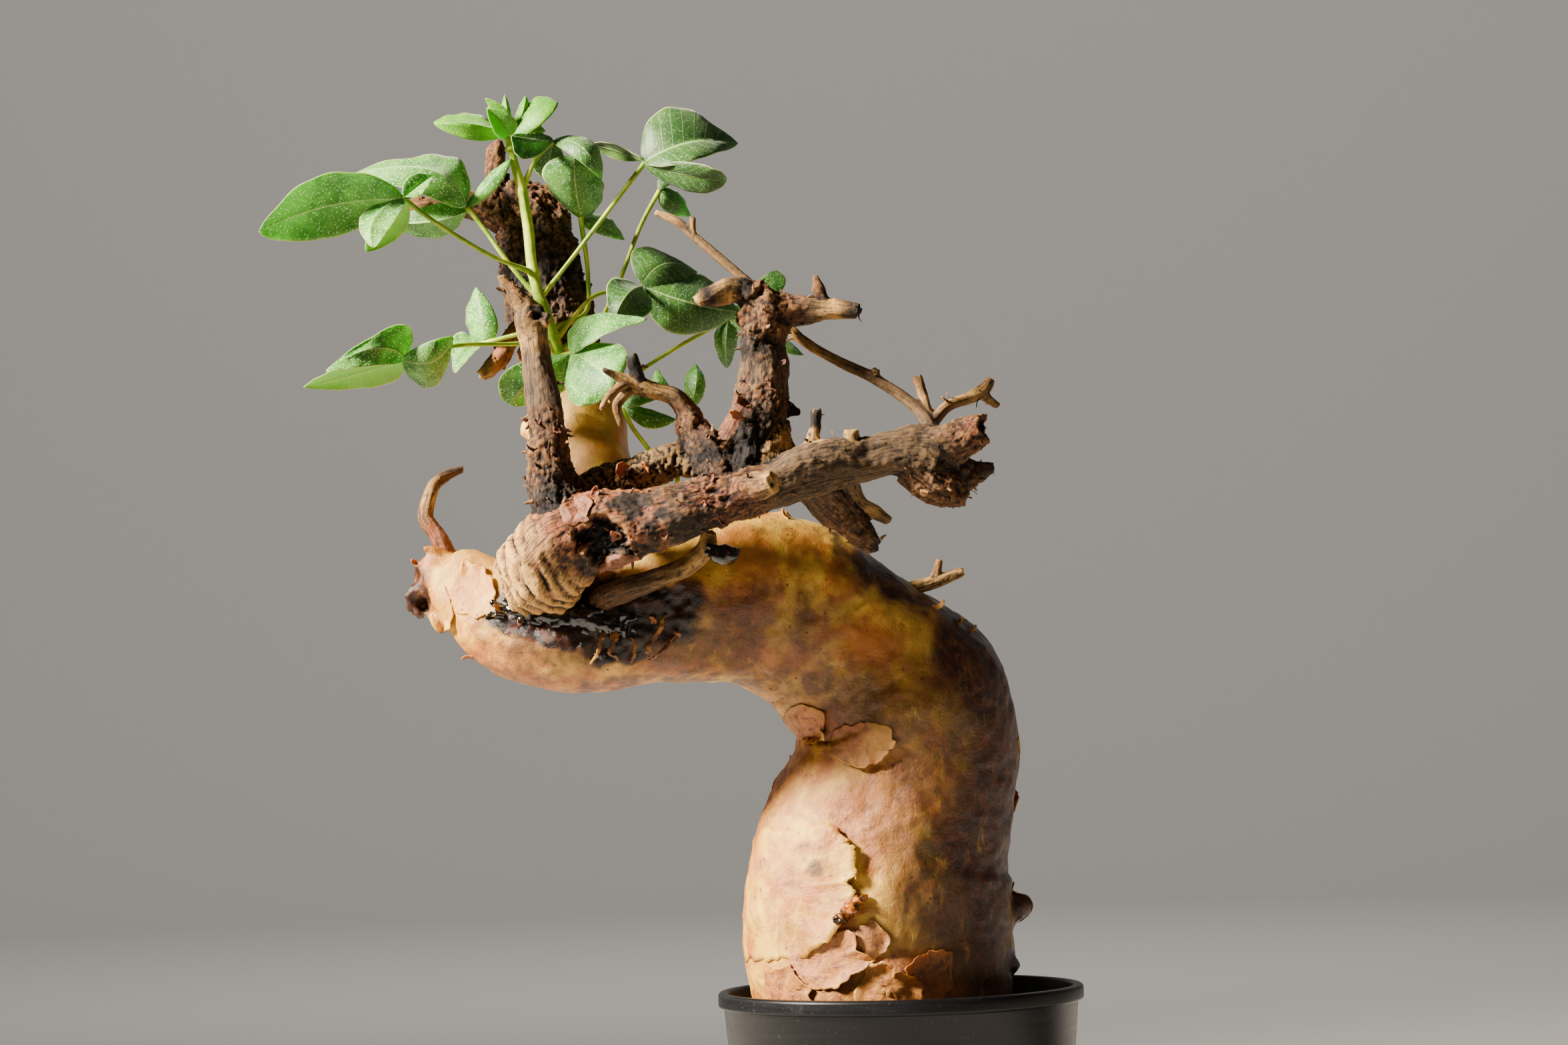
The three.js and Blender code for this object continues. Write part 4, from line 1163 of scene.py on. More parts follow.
@dataclass
class WeatheredWood(GrownWood):
    """Dead wood: lengthwise lines, cracks and shaggy bark, by the look of each limb."""

    patches: tuple[Patch, ...] = ()
    hollows: tuple[Patch, ...] = ()

    def looks(self, skin: Surface) -> Array:
        """Read the look of each point from the limb under it.

        Args:
            skin: The wood before it is carved.

        Returns:
            The eight numbers of a look for each point.
        """
        rows = np.zeros((len(skin.points), 8))
        wander = 0.05 * noise(skin.points, 6, 21)
        for i, limb in enumerate(self.grown.values()):
            mine = skin.fit.limb == i
            table = np.array([bark.value for bark in limb.barks])
            place = np.clip(skin.fit.share[mine] + wander[mine], 0, 1) * (len(table) - 1)
            steps = np.arange(len(table))
            rows[mine] = np.stack([np.interp(place, steps, column) for column in table.T], axis=1)
        return rows

    def carve(self, skin: Surface) -> tuple[Array, dict[str, Array]]:
        """Give the wood its lines, cracks, shaggy bark and hollows, and its tones.

        Args:
            skin: The wood before it is carved.

        Returns:
            How far each point is raised, and its shares and its place on its limb.
        """
        points = skin.points
        looks = self.looks(skin)
        grain, shag, crack, wrinkle = looks[:, 4:].T
        size = np.clip(skin.fit.radius / 7, 0.3, 1.3)
        lines = 1 - np.abs(noise(skin.fit.wrapped(7.0), 1.5, 22, 3)) * 2.2
        rings = ease(0.1, 1, 1 - np.abs(noise(skin.fit.wrapped(0.3), 5.5, 27, 3)) * 2.4)
        chinks = 1 - ease(0.02, 0.16, crackle(skin.fit.wrapped(2.6), 3.4, 23))
        plates = noise(skin.fit.wrapped(1.3), 4.6, 24, 5)
        level = np.floor(plates * 3)
        stepped = (level + ease(0.3, 0.7, plates * 3 - level)) / 3
        raised = size * (0.45 * noise(points, 6, 25) - 0.55 * grain * ease(0.2, 1, lines))
        raised += size * (0.08 + 0.35 * shag) * noise(points, 2.0, 29, 3)
        raised += size * (1.3 * shag * stepped - 0.9 * crack * chinks - 1.0 * wrinkle * rings)
        shares = looks[:, :4] + 0.0
        shares[:, WoodTone.CHAR] += 0.5 * crack * chinks + 0.8 * wrinkle * ease(0.3, 0.9, rings)
        for patch in self.patches:
            amount = patch.share(points)[:, None]
            target = np.eye(4)[patch.tone][None, :] * patch.strength
            shares = shares * (1 - amount) + target * amount
        for hollow in self.hollows:
            amount = hollow.share(points)
            raised -= amount * (min(hollow.size) * 0.5 - 3.0 * (crackle(points, 2.8, 28) - 0.4))
            shares[:, WoodTone.CHAR] = np.maximum(shares[:, WoodTone.CHAR], amount)
        kept = {
            "wood_shares": np.clip(shares, 0, 1),
            "limb_place": skin.fit.wrapped(9.0) * MM,
            "shag": np.clip(shag * (0.4 + plates), 0, 1),
        }
        return raised, kept


@dataclass
class CaudexTwigs(WeatheredWood):
    """The dead twigs and the resin-tipped stub that stand on the living bark."""

    grown: dict[str, Limb] = field(default_factory=lambda: {
        "horn": Limb(((-143.5, -14, 246, 4.5), (-147, -14, 257, 2.8), (-151, -13, 263, 2.6),
            (-150, -12, 269, 2.4), (-148, -11, 274, 2.2), (-144, -9, 277, 1.7), (-139, -7, 279, 1.2)),
            (SKIN, SKIN, PALE, RUST, GREY), gnarl=0.03, ragged=0.5),
        "right_stub": Limb(((-10, -2, 229, 4), (5, 0, 235, 2.6), (16, 1, 238, 2.1), (25, 2, 241, 1.7)),
            (GREY, PALE, PALE), gnarl=0.03, ragged=0.7),
        "right_nub": Limb(((15, 1, 238, 1.8), (17, 1, 245, 1.1)), (PALE, SKIN), gnarl=0.03),
        "resin_stub": Limb(((-94, -40, 234, 4), (-86, -50, 237, 3.8), (-76, -54, 240, 3.4),
            (-65, -56, 244, 3.1), (-59, -58, 250, 3.2), (-58, -58, 255, 2.4)), (RUST, GREY, PALE, PALE),
            gnarl=0.06, ragged=0.9),
    })
    patches: tuple[Patch, ...] = (
        Patch(WoodTone.PALE, (-58, -58, 254), (4, 4, 4)),
        Patch(WoodTone.PALE, (26, 2, 241), (2, 3, 3)),
    )


@dataclass
class DeadBranches(WeatheredWood):
    """The weathered branches in front: collar, main run, upright, T-shaped stem and twigs."""

    grown: dict[str, Limb] = field(default_factory=lambda: {
        "collar": Limb(((-112, -34, 241, 12), (-112, -44, 243, 13.5), (-110, -53, 246, 14.5),
            (-104, -59, 252, 14), (-96, -61, 257, 12.6)), (CREAM, CREAM, CREAM, CREAM, SKIN, SKIN)),
        "main_run": Limb(((-104, -59, 254, 13), (-87, -62, 256, 12.4), (-77, -63, 258, 10.1),
            (-70, -63, 260, 9.7), (-59, -62, 263, 8.4), (-44, -60, 267, 8), (-36, -59, 269, 7.6),
            (-27, -57, 273, 8.7), (-19, -56, 275, 8), (-10, -54, 276, 7), (1, -52, 278, 7.2),
            (9, -50, 278, 8.6), (14, -49, 276, 9)),
            (SKIN, SKIN, SKIN, GREY, RUST, RUST, GREY, GREY, GREY, GREY, GREY, GREY, GREY)),
        "upper_end": Limb(((6, -50, 279, 7), (21, -50, 281, 7.2), (27, -51, 284, 6.2), (31, -51, 285, 5)),
            (GREY, RUST, RUST), ragged=0.5),
        "lower_end": Limb(((7, -50, 275, 7), (14, -50, 269, 7.4), (19, -50, 266, 5.9), (23, -51, 263, 3.2)),
            (GREY, RUST, RUST, RUST), ragged=0.7),
        "rear_end": Limb(((12, -46, 276, 7), (23, -42, 271, 6.2), (28, -40, 272, 3.8), (34, -38, 274, 1.6)),
            (CHAR, RUST, CHAR), ragged=0.7),
        "upright": Limb(((-101, -60, 255, 11), (-106, -60, 266, 8.8), (-108, -59, 277, 7.2),
            (-108, -58, 287, 6.1), (-109, -57, 298, 5.6), (-111, -56, 309, 4.9), (-112, -55, 318, 4.7),
            (-113, -55, 324, 5.3), (-113, -55, 328, 4)),
            (CHAR, CHAR, RUST, RUST, GREY, GREY, PALE, GREY, PALE), ragged=0.4),
        "upright_horn": Limb(((-112, -55, 325, 4), (-117, -56, 331, 3), (-120, -56, 335, 2.2),
            (-122, -57, 338, 1.2)), (PALE, RUST, PALE), ragged=0.6),
        "upright_knob": Limb(((-112, -56, 324, 3.4), (-107, -58, 323, 2.2)), (PALE, PALE), ragged=0.4),
        "twiglet": Limb(((-24, -57, 276, 3), (-24, -57, 284, 2.1), (-23, -57, 288, 1.7),
            (-23, -57, 292, 1.9)), (PALE, PALE, CHAR, CHAR), ragged=0.8),
        "ridge_nub": Limb(((-12, -56, 278, 3.2), (-12, -57, 286, 2.4)), (GREY, PALE), ragged=0.5),
        "cut_stub": Limb(((-53, -60, 265, 5.5), (-47, -67, 267, 4.8), (-41, -73, 268, 4.6),
            (-37, -76, 269, 3.6)), (RUST, RUST, PALE), ragged=0.3),
        "low_stub": Limb(((-25, -50, 269, 6.4), (-16, -44, 260, 6), (-8, -40, 252, 4.3),
            (-5, -39, 249, 2.4)), (GREY, RUST, CHAR), ragged=0.6),
        "forked_stub": Limb(((-15, -48, 271, 4.3), (-10, -42, 263, 3), (-5, -38, 260, 2.4),
            (0, -36, 257, 1.5)), (GREY, PALE, GREY), ragged=0.5),
        "striped_limb": Limb(((-98, -52, 262, 8), (-92, -50, 270, 6.8), (-82, -50, 273, 6.3),
            (-67, -50, 278, 5.9), (-56, -52, 275, 5.5)), (STRIPED, STRIPED, STRIPED)),
        "gnarled_stub": Limb(((-49, -58, 266, 7), (-56, -54, 277, 7.2), (-62, -52, 287, 5.5),
            (-64, -52, 293, 3.8), (-68, -53, 298, 3), (-74, -54, 300, 2.8), (-80, -55, 302, 2.8)),
            (RUST, CHAR, RUST, RUST, GREY, PALE, PALE)),
        "charred_stub": Limb(((-78, -54, 300, 2.8), (-80, -56, 307, 2.3), (-81, -57, 311, 1.9)),
            (GREY, CHAR, CHAR), ragged=0.5),
        "left_twig": Limb(((-78, -55, 301, 2.4), (-86, -58, 305, 1.5), (-90, -60, 307, 0.8)),
            (PALE, PALE, CHAR)),
        "drooping_twig_1": Limb(((-82, -56, 303, 1.7), (-88, -60, 299, 1.5), (-91, -62, 294, 0.8)),
            (PALE, RUST, PALE)),
        "drooping_twig_2": Limb(((-80, -55, 302, 2.1), (-86, -54, 296, 1.7), (-85, -53, 289, 1)),
            (PALE, RUST, PALE)),
        "pale_stem": Limb(((-40, -54, 268, 8.5), (-39, -48, 281, 8.6), (-39, -44, 289, 7.4)),
            (GREY, PALE, STRIPED), ragged=0.3),
        "t_stem": Limb(((-49, -56, 268, 7.5), (-45, -51, 284, 8), (-40, -47, 297, 8.4), (-39, -46, 307, 8),
            (-40, -46, 314, 7.2), (-39, -46, 320, 7.8), (-39, -46, 330, 7)),
            (CHAR, CHAR, RUST, GREY, CHAR, RUST, RUST)),
        "t_left_arm": Limb(((-38, -46, 327, 6), (-47, -48, 332, 4.5), (-55, -51, 330, 3.6),
            (-60, -53, 328, 1.9)), (RUST, CHAR, CREAM, CHAR, CREAM), ragged=0.5),
        "t_right_arm": Limb(((-40, -46, 326, 6.6), (-28, -47, 325, 5), (-19, -48, 325, 3.8),
            (-8, -50, 324, 2.5)), (RUST, RUST, GREY, CREAM, CHAR), ragged=0.5),
        "t_spike": Limb(((-20, -48, 325, 3.4), (-21, -48, 332, 2.1), (-22, -48, 336, 0.9)), (RUST, RUST)),
        "t_root": Limb(((-43, -49, 299, 5), (-49, -54, 288, 3.8), (-55, -56, 278, 4.4)), (RUST, SKIN, RUST)),
        "t_barb": Limb(((-36, -46, 295, 4.3), (-28, -46, 292, 0.9)), (CHAR, CHAR)),
        "long_twig": Limb(((-73, -24, 360, 1), (-66, -25, 356.5, 1.5), (-60, -26, 351, 1.5),
            (-50, -29, 341.7, 1.5), (-42, -31, 334, 1.7), (-32, -33, 322, 1.7), (-26, -35, 316, 1.7),
            (-15, -37, 309, 1.7), (-4, -40, 303, 1.9), (11, -44, 291, 2.1), (15, -48, 281, 4)),
            (CREAM, GREY, GREY, GREY, PALE, PALE, GREY, GREY, GREY)),
        "twig_nub_1": Limb(((-61, -26, 351, 1.4), (-61, -26, 358, 1.1)), (GREY, PALE, RUST), ragged=0.6),
        "twig_nub_2": Limb(((-4, -40, 302, 1.8), (-3, -40, 306, 1.3)), (GREY, PALE, RUST), ragged=0.6),
        "twig_nub_3": Limb(((13, -45, 286, 2.4), (12, -42, 295, 1.9), (10, -40, 303, 1.8)),
            (GREY, PALE, RUST), ragged=0.6),
        "twig_nub_4": Limb(((12, -45, 285, 2.6), (19, -42, 293, 1.9), (27, -38, 296, 2.1),
            (32, -35, 299, 2.1), (34, -34, 302, 1.7)), (GREY, PALE, RUST), ragged=0.6),
        "twig_nub_5": Limb(((30, -36, 298, 1.9), (36, -35, 293, 1.2)), (GREY, PALE, RUST), ragged=0.6),
    })
    patches: tuple[Patch, ...] = (
        Patch(WoodTone.RUST, (-56, -70, 264), (12, 9, 9), 0.9, 0.6),
        Patch(WoodTone.PALE, (-37, -77, 269), (3.4, 4, 3.4), 1, 0.4),
        Patch(WoodTone.CHAR, (-82, -66, 262), (9, 9, 5), 0.9, 0.9),
        Patch(WoodTone.CHAR, (-66, -70, 256), (12, 9, 5), 0.8, 0.9),
        Patch(WoodTone.RUST, (29, -54, 285), (7, 8, 6), 0.9, 0.5),
        Patch(WoodTone.CHAR, (-88, -66, 246), (16, 9, 5), 0.8, 0.7),
        Patch(WoodTone.CHAR, (-23, -57, 292), (3, 3, 4), 0.9, 0.2),
        Patch(WoodTone.PALE, (-24, -58, 283), (3.4, 4, 3), 0.9, 0.3),
        Patch(WoodTone.CHAR, (-109, -60, 326), (4, 4, 3), 0.9, 0.3),
    )
    hollows: tuple[Patch, ...] = (
        Patch(0, (-91, -75, 252), (7, 8, 6.4), 1, 0.8),
        Patch(0, (-36, -79, 269), (1.8, 3, 1.8), 1, 0.1),
        Patch(0, (31, -55, 286), (3, 4, 2.4), 1, 0.2),
        Patch(0, (-110, -61, 325), (2, 3, 1.6), 1, 0.2),
    )

    ring_centre: Point = (-86.0, -62.0, 258.0)
    ring_gap: float = 4.0

    def carve(self, skin: Surface) -> tuple[Array, dict[str, Array]]:
        """Carve the wood as elsewhere, and stretch rings of young bark round the collar."""
        raised, kept = super().carve(skin)
        points = skin.points
        reach = np.linalg.norm(points - self.ring_centre, axis=1)
        wave = np.sin(2 * math.pi * (reach + 2.2 * noise(points, 14, 73, 3)) / self.ring_gap)
        shares = kept["wood_shares"]
        young = (skin.fit.limb == 0) * shares[:, WoodTone.PALE]
        gaps = ease(0.75, 1.0, -wave) * ease(-0.1, 0.3, noise(points, 11, 74, 2)) * young
        shares[:, WoodTone.CHAR] = np.maximum(shares[:, WoodTone.CHAR], 0.9 * gaps)
        brown = young * ease(-0.5, 0.7, -wave) * ease(-0.7, 0.2, noise(points, 9, 75, 4))
        shares[:, WoodTone.SKIN] = np.maximum(shares[:, WoodTone.SKIN], 0.9 * brown)
        shares[:, WoodTone.PALE] -= 0.7 * brown
        return raised + young * (0.4 * wave - 0.8 * gaps), kept


@dataclass
class DeadTop(WeatheredWood):
    """The rough dead top of the rear stem, dark brown with orange-brown crumbs."""

    seeded: bool = False
    grown: dict[str, Limb] = field(default_factory=lambda: {
        "top": Limb(((-104.5, 21, 308, 15.3), (-107, 23, 316, 14.6), (-109, 24, 325, 14),
            (-112, 26, 339, 13.6), (-113, 27, 350, 13.5), (-116, 28, 362, 12.4), (-120.5, 28, 370, 9.6),
            (-124, 28, 374, 5)), (SKIN, RUST, CHAR, RUST, CHAR), gnarl=0.06),
        "spike": Limb(((-126, 28, 366, 6), (-128, 28, 379, 4), (-127, 27, 388, 2.7), (-126, 27, 391, 1.1)),
            (CHAR, RUST, RUST, GREY), ragged=0.6),
        "arm": Limb(((-121, 28, 364, 8), (-138, 24, 369, 4.9), (-151, 20, 368, 3.8), (-160, 18, 367, 2.4)),
            (RUST, GREY, RUST), ragged=0.6),
        "low_arm": Limb(((-114, 20, 331, 4.5), (-123, 12, 323, 3.3), (-128, 8, 315, 3.1),
            (-133, 6, 310, 2.2)), (RUST, SKIN, SKIN, PALE), ragged=0.6),
        "nub": Limb(((-104, 26, 342, 3), (-97, 26, 340, 1.8)), (RUST, CHAR), ragged=0.6),
    })

    def carve(self, skin: Surface) -> tuple[Array, dict[str, Array]]:
        """Carve the wood as elsewhere, and crumble its surface."""
        raised, kept = super().carve(skin)
        crumbled = 1.5 * noise(skin.points, 9, 71, 4) + 1.2 * (crackle(skin.points, 4, 72) - 0.4)
        return raised + np.where(skin.fit.limb == 0, crumbled, 0.4 * crumbled), kept


# Peeling bark


class Side(Enum):
    """Where a flake's outline is seen from: the front, or the trunk's own axis."""

    FRONT = 0
    ROUND = 1


@dataclass(frozen=True)
class Flake:
    """A papery layer of bark, with an outline in x and z, or in degrees round the trunk and z where its
    side is ROUND. Its edge stands off by lift, where it lies within spread degrees of the way towards,
    and its flat part by seat. Papery and brown are shares of those tones.
    """

    outline: tuple[Pair, ...]
    lift: float = 1.6
    towards: float = 0.0
    spread: float = 90.0
    papery: float = 0.8
    brown: float = 0.0
    side: Side = Side.FRONT
    seat: float = 0.25


@dataclass(frozen=True)
class Curl:
    """A narrow strip of bark that curls away from the surface."""

    root: Point
    heading: Point
    length: float
    width: float
    bend: float = 2.4
    papery: float = 0.8
    brown: float = 0.0


@dataclass
class PeelingBark:
    """The papery layers, flakes and curled shreds on the living bark."""

    finish: Material
    skin: Skin
    name: str = "peeling_bark"
    slot: str = "bark"
    rings: int = 14
    spacing: float = 0.75
    thickness: float = 0.3
    axis_x: float = -4.0
    axis_radius: float = 43.0
    clear_radius: float = 120.0
    flat_share: float = 0.55
    root_depth: float = 0.3
    under_brown: float = 0.6
    flakes: tuple[Flake, ...] = (
        Flake(((-34, 160), (-24, 159), (-18, 156), (-15.5, 152), (-13, 146), (-14, 143), (-19, 142),
              (-14, 139), (-14, 135), (-20, 132), (-22, 126), (-40, 117), (-80, 116), (-112, 128),
              (-110, 150), (-70, 158)), 2.5, 0, 60, 0.05, 0, Side.ROUND, 0.35),
        Flake(((-48, 118), (-30, 124.5), (-20, 126), (-15.5, 125), (-13, 120), (-6, 117), (-14, 113),
              (-27, 108), (-44, 107)), 1.7, -10, 100, 0.85, 0, Side.ROUND, 0.5),
        Flake(((-17, 108), (-10, 114.5), (0, 116), (7, 112), (15, 108), (14, 102), (-16, 103)), 2.2, 60, 110,
              0.7, 0, Side.ROUND, 0.8),
        Flake(((-15, 124), (-12, 128.5), (-6, 129), (-1, 125), (-1, 120), (-6, 117), (-12, 118)), 1.5, 20,
              90, 0.9, 0.35, Side.ROUND, 0.5),
        Flake(((5, 114), (10, 117.5), (20, 118.5), (30, 118), (31, 106), (15, 103)), 1.4, 100, 100, 1,
              0.35, Side.ROUND, 0.3),
        Flake(((-70, 100), (-62, 113), (-46, 116), (-36, 108), (-38, 100)), 1.2, 40, 100, 0.8, 0.1,
              Side.ROUND, 0.3),
        Flake(((-36, 194), (-32, 199), (-26, 199), (-22, 194), (-22, 188), (-26, 185), (-31, 188)), 1.8, -40,
              90, 0.9, 0, Side.FRONT, 0.5),
        Flake(((-20, 191), (-11, 193), (-2, 191), (1, 185), (-6, 179), (-14, 178), (-21, 183)), 2, -60,
              100, 0.7, 0.3, Side.FRONT, 0.4),
        Flake(((-143, 240), (-138, 248), (-131, 246), (-127, 237), (-127, 230), (-134, 229), (-140, 232)),
              1.3, 60, 100, 0, 0, Side.FRONT, 0.35),
        Flake(((-150, 241), (-144, 240), (-141, 231), (-145, 224), (-149, 231)), 1.5, -90, 90, 0.3, 0,
              Side.FRONT, 0.3),
    )
    scattered: int = 16
    ridges: tuple[Run, ...] = (
        ((-92, -43, 225, 0.5), (-93.6, -44.4, 221.5, 0.7), (-94.2, -44.6, 218, 0.6), (-97, -43.4, 214, 0.3)),
        ((-88, -43, 226, 0.4), (-89.6, -44.8, 221, 0.8), (-90.4, -44.8, 217, 0.7), (-88, -43.4, 214, 0.3)),
        ((-73, -42, 229, 0.5), (-75, -44.4, 224, 0.7), (-78, -44.8, 219, 0.7), (-79, -43.6, 215, 0.3)),
        ((-70, -41, 222, 0.4), (-74, -43.8, 217.5, 0.7), (-79, -43.8, 214, 0.3)),
        ((-84, -43, 222, 0.3), (-83, -44.6, 218, 0.5), (-84, -43.8, 214, 0.3)),
    )
    spots: tuple[Patch, ...] = (
        Patch(WET, (-27, -36, 146), (3.4, 14, 3.2), 0.42, 0.2, 0.6),
        Patch(PAPERY, (-36, -32, 141), (6, 16, 5.4), 0.9, 0.7, 0.9),
        Patch(PAPERY, (-29, -36, 153), (6, 14, 2.8), 0.9, 0.6, 0.9),
        Patch(PAPERY, (-22, -38, 138), (3.4, 14, 3), 0.9, 0.6, 0.9),
        Patch(PAPERY, (-45, -22, 148), (8, 18, 3.4), 0.8, 0.8, 0.9),
        Patch(WET, (-36, -32, 142), (4, 16, 3.4), 0.2, 0.8, 0.9),
        Patch(WET, (-29, -36, 153), (4.4, 14, 1.8), 0.2, 0.8, 0.9),
    )
    curls: tuple[Curl, ...] = (
        Curl((-78, -45, 226), (1, 0, 0.3), 4, 3, 2.2, 0.9, 0.1),
        Curl((-71, -44, 221), (0.6, 0, 1), 4, 2, 2.4, 0.8, 0.2),
        Curl((-124, -40, 232), (-1, 0, 0.2), 5, 2, 1.6, 0.2, 0.6),
        Curl((-119, -41, 230), (-0.4, 0, -1), 5, 1.8, 1.8, 0.2, 0.8),
        Curl((12, -14, 226), (1, 0, 0.6), 6, 2.6, 2.2, 0.3, 0.3),
        Curl((18, -12, 222), (1, 0, 0.2), 5, 2.2, 2.8, 0.2, 0.5),
        Curl((21, -10, 218), (1, 0, -0.4), 5, 2.4, 2.4, 0.4, 0.6),
        Curl((-34, -16, 252), (-0.4, 0, 1), 5, 3, 1.4, 0.1, 0),
        Curl((-17, -41, 142), (1, 0, 0.5), 5, 2.6, 1.6, 0.3, 0),
        Curl((-150, -18, 246), (-1, 0, 0.5), 5, 2.2, 1.8, 0.2, 0.3),
        Curl((-129, -24, 224), (-1, 0, -0.2), 5, 2.4, 1.4, 0.6, 0.1),
    )

    def seat(self, flake: Flake, first: float, second: float) -> tuple[Array, Array]:
        """Find where a place of a flake's outline lies on the bark.

        Args:
            flake: The flake.
            first: X, or degrees round the trunk.
            second: Height.

        Returns:
            The point on the bark and the way that it faces.
        """
        if flake.side is Side.FRONT:
            return self.skin.hit(Vector((first, -FAR, second)), Vector((0, 1, 0)))
        turn = math.radians(first)
        outwards = Vector((math.sin(turn), -math.cos(turn), 0))
        start = Vector((self.axis_x, 0, second)) + outwards * self.clear_radius
        return self.skin.hit(start, -outwards)

    def outline(self, flake: Flake) -> Array:
        """Round a flake's outline off and make it ragged.

        Args:
            flake: The flake.

        Returns:
            The outline, two numbers to a row.
        """
        stretch = math.radians(self.axis_radius) if flake.side is Side.ROUND else 1.0
        corners = np.array(flake.outline) * (stretch, 1.0)
        closed = np.vstack([corners, corners[:1]])
        lengths = np.linalg.norm(np.diff(closed, axis=0), axis=1)
        run = np.concatenate([[0], np.cumsum(lengths)])
        places = np.linspace(0, run[-1], int(np.clip(run[-1] / self.spacing, 40, 260)), endpoint=False)
        points = np.stack([np.interp(places, run, closed[:, axis]) for axis in range(2)], axis=1)
        for _ in range(2):
            points = 0.5 * points + 0.25 * (np.roll(points, 1, axis=0) + np.roll(points, -1, axis=0))
        outwards = unit(points - points.mean(axis=0))
        flat = np.column_stack([points, np.zeros(len(points))])
        torn = 1.0 * noise(flat, 5, 31, 2) + 0.7 * noise(flat, 2.0, 32, 3)
        return (points + outwards * torn[:, None]) / (stretch, 1.0)

    def flake_shell(self, flake: Flake) -> Shell:
        """Lay one flake on the bark.

        Args:
            flake: The flake.

        Returns:
            Its closed mesh.
        """
        border = self.outline(flake)
        centre = border.mean(axis=0)
        stretch = math.radians(self.axis_radius) if flake.side is Side.ROUND else 1.0
        angle = np.degrees(np.arctan2(border[:, 1] - centre[1], (border[:, 0] - centre[0]) * stretch))
        off = np.abs((angle - flake.towards + 180) % 360 - 180)
        raised = flake.lift * ease(flake.spread, flake.spread * 0.35, off)
        steps = np.linspace(0, 1, self.rings + 1)[1:]
        top = []
        bottom = []
        for step in steps:
            seats = np.array([self.seat(flake, *place) for place in centre + (border - centre) * step])
            rise = max(0.0, (step - self.flat_share) / (1 - self.flat_share))
            height = flake.seat + raised * rise**1.7
            top.append(seats[:, 0] + seats[:, 1] * height[:, None])
            bottom.append(top[-1] - unit(seats[:, 1] + 1e-9) * self.thickness)
        shell = tube(np.array([*top, *bottom[::-1]]))
        middle, up = self.seat(flake, *centre)
        shell.points[-2:] = middle + up * flake.seat, middle - up * 2 * self.root_depth
        first, second = (shell.points[i] - shell.points[-2] for i in (0, 1))
        if np.cross(first, second) @ up > 0:
            shell.faces = [face[::-1] for face in shell.faces]
        share = np.concatenate([np.repeat([*steps, *steps[::-1]], len(border)), [0.0, 0.0]])
        tones = shell.tones("bark_shares")
        tones[:, PAPERY] = flake.papery * (1 - 0.7 * ease(0.9, 1.0, share))
        tones[:, BROWN] = flake.brown
        tones[self.rings * len(border) : -2, BROWN] = self.under_brown
        tones[-1, BROWN] = self.under_brown
        return shell

    def curl_shell(self, curl: Curl) -> Shell:
        """Make one curled strip.

        Args:
            curl: The strip.

        Returns:
            Its closed mesh.
        """
        ground, up = self.skin.nearest(np.array(curl.root, float))
        heading = np.array(curl.heading, float)
        onwards = unit(heading - up * (heading @ up))
        aside = np.cross(up, onwards)
        share = np.linspace(0, 1, 14)
        turn = 0.15 + curl.bend * share**1.5
        step = curl.length / len(share)
        line = np.cumsum(np.cos(turn)[:, None] * onwards + np.sin(turn)[:, None] * up, axis=0) * step
        cover = -np.sin(turn)[:, None] * onwards + np.cos(turn)[:, None] * up
        across = np.linspace(-1, 1, 6)
        ragged = 1 + 0.3 * noise(line + np.array(curl.root), 2.0, 33, 3)
        width = curl.width / 2 * ragged * (1 - 0.55 * share**2)
        grid = ground - up * self.root_depth + line[:, None, :] + aside * (width[:, None] * across)[..., None]
        grid = grid + cover[:, None, :] * (0.18 * curl.width * across**2)[None, :, None]
        shell = closed_sheet(grid[:, ::-1], self.thickness)
        tones = shell.tones("bark_shares")
        tones[:, PAPERY] = curl.papery
        tones[:, BROWN] = curl.brown
        return shell

    @staticmethod
    def ridge_shell(ridge: Run) -> Shell:
        """Make one torn ridge that stands on the bark."""
        shell = limb_shell(Limb(ridge, gnarl=0.15), 0.35, ridge[0][0])
        rough = noise(shell.points, 2.2, 34, 3)
        shell.points = shell.points + 0.7 * np.stack([rough, -0.6 * np.abs(rough), np.roll(rough, 7)], axis=1)
        mottled = 0.5 * noise(shell.points, 2.5, 35)
        tones = shell.tones("bark_shares")
        tones[:, BROWN] = np.clip(0.6 + mottled, 0, 1)
        tones[:, PAPERY] = np.clip(0.5 + mottled, 0, 1)
        return shell

    def chance_flakes(self) -> list[Flake]:
        """Place more flakes at random round the back and the sides of the trunk."""
        draw = np.random.default_rng(61)
        found = []
        for _ in range(self.scattered):
            degrees, height = draw.uniform(98, 256), draw.uniform(106, 186)
            wide, tall = draw.uniform(7, 18), draw.uniform(5, 13)
            turns = np.linspace(0, 2 * math.pi, 9, endpoint=False)
            reach = draw.uniform(0.65, 1.1, 9)
            across = degrees + wide * reach * np.cos(turns)
            upwards = height + tall * reach * np.sin(turns)
            # The fifth range is the brown share, partly painted shade for the trunk's shaded sides.
            ranges = ((1, 2.4), (0, 360), (60, 130), (0.4, 1), (0.25, 0.8), (0.2, 0.6))
            *look, seat = (draw.uniform(low, high) for low, high in ranges)
            found.append(Flake(tuple(zip(across, upwards)), *look, Side.ROUND, seat))
        return found

    def build(self) -> None:
        """Lay every flake and curl."""
        shells = [self.flake_shell(flake) for flake in [*self.flakes, *self.chance_flakes()]]
        shells += [self.curl_shell(curl) for curl in self.curls]
        shells += [self.ridge_shell(ridge) for ridge in self.ridges]
        for shell in shells:
            shares = shell.kept["bark_shares"]
            # The flakes get no painted crease shade.
            shell.kept["hollow"] = np.zeros(len(shares))
            for spot in self.spots:
                shares[:, spot.tone] = np.maximum(shares[:, spot.tone], spot.share(shell.points))
        settle(make_object(self.name, shells, [self.finish]), self.slot)


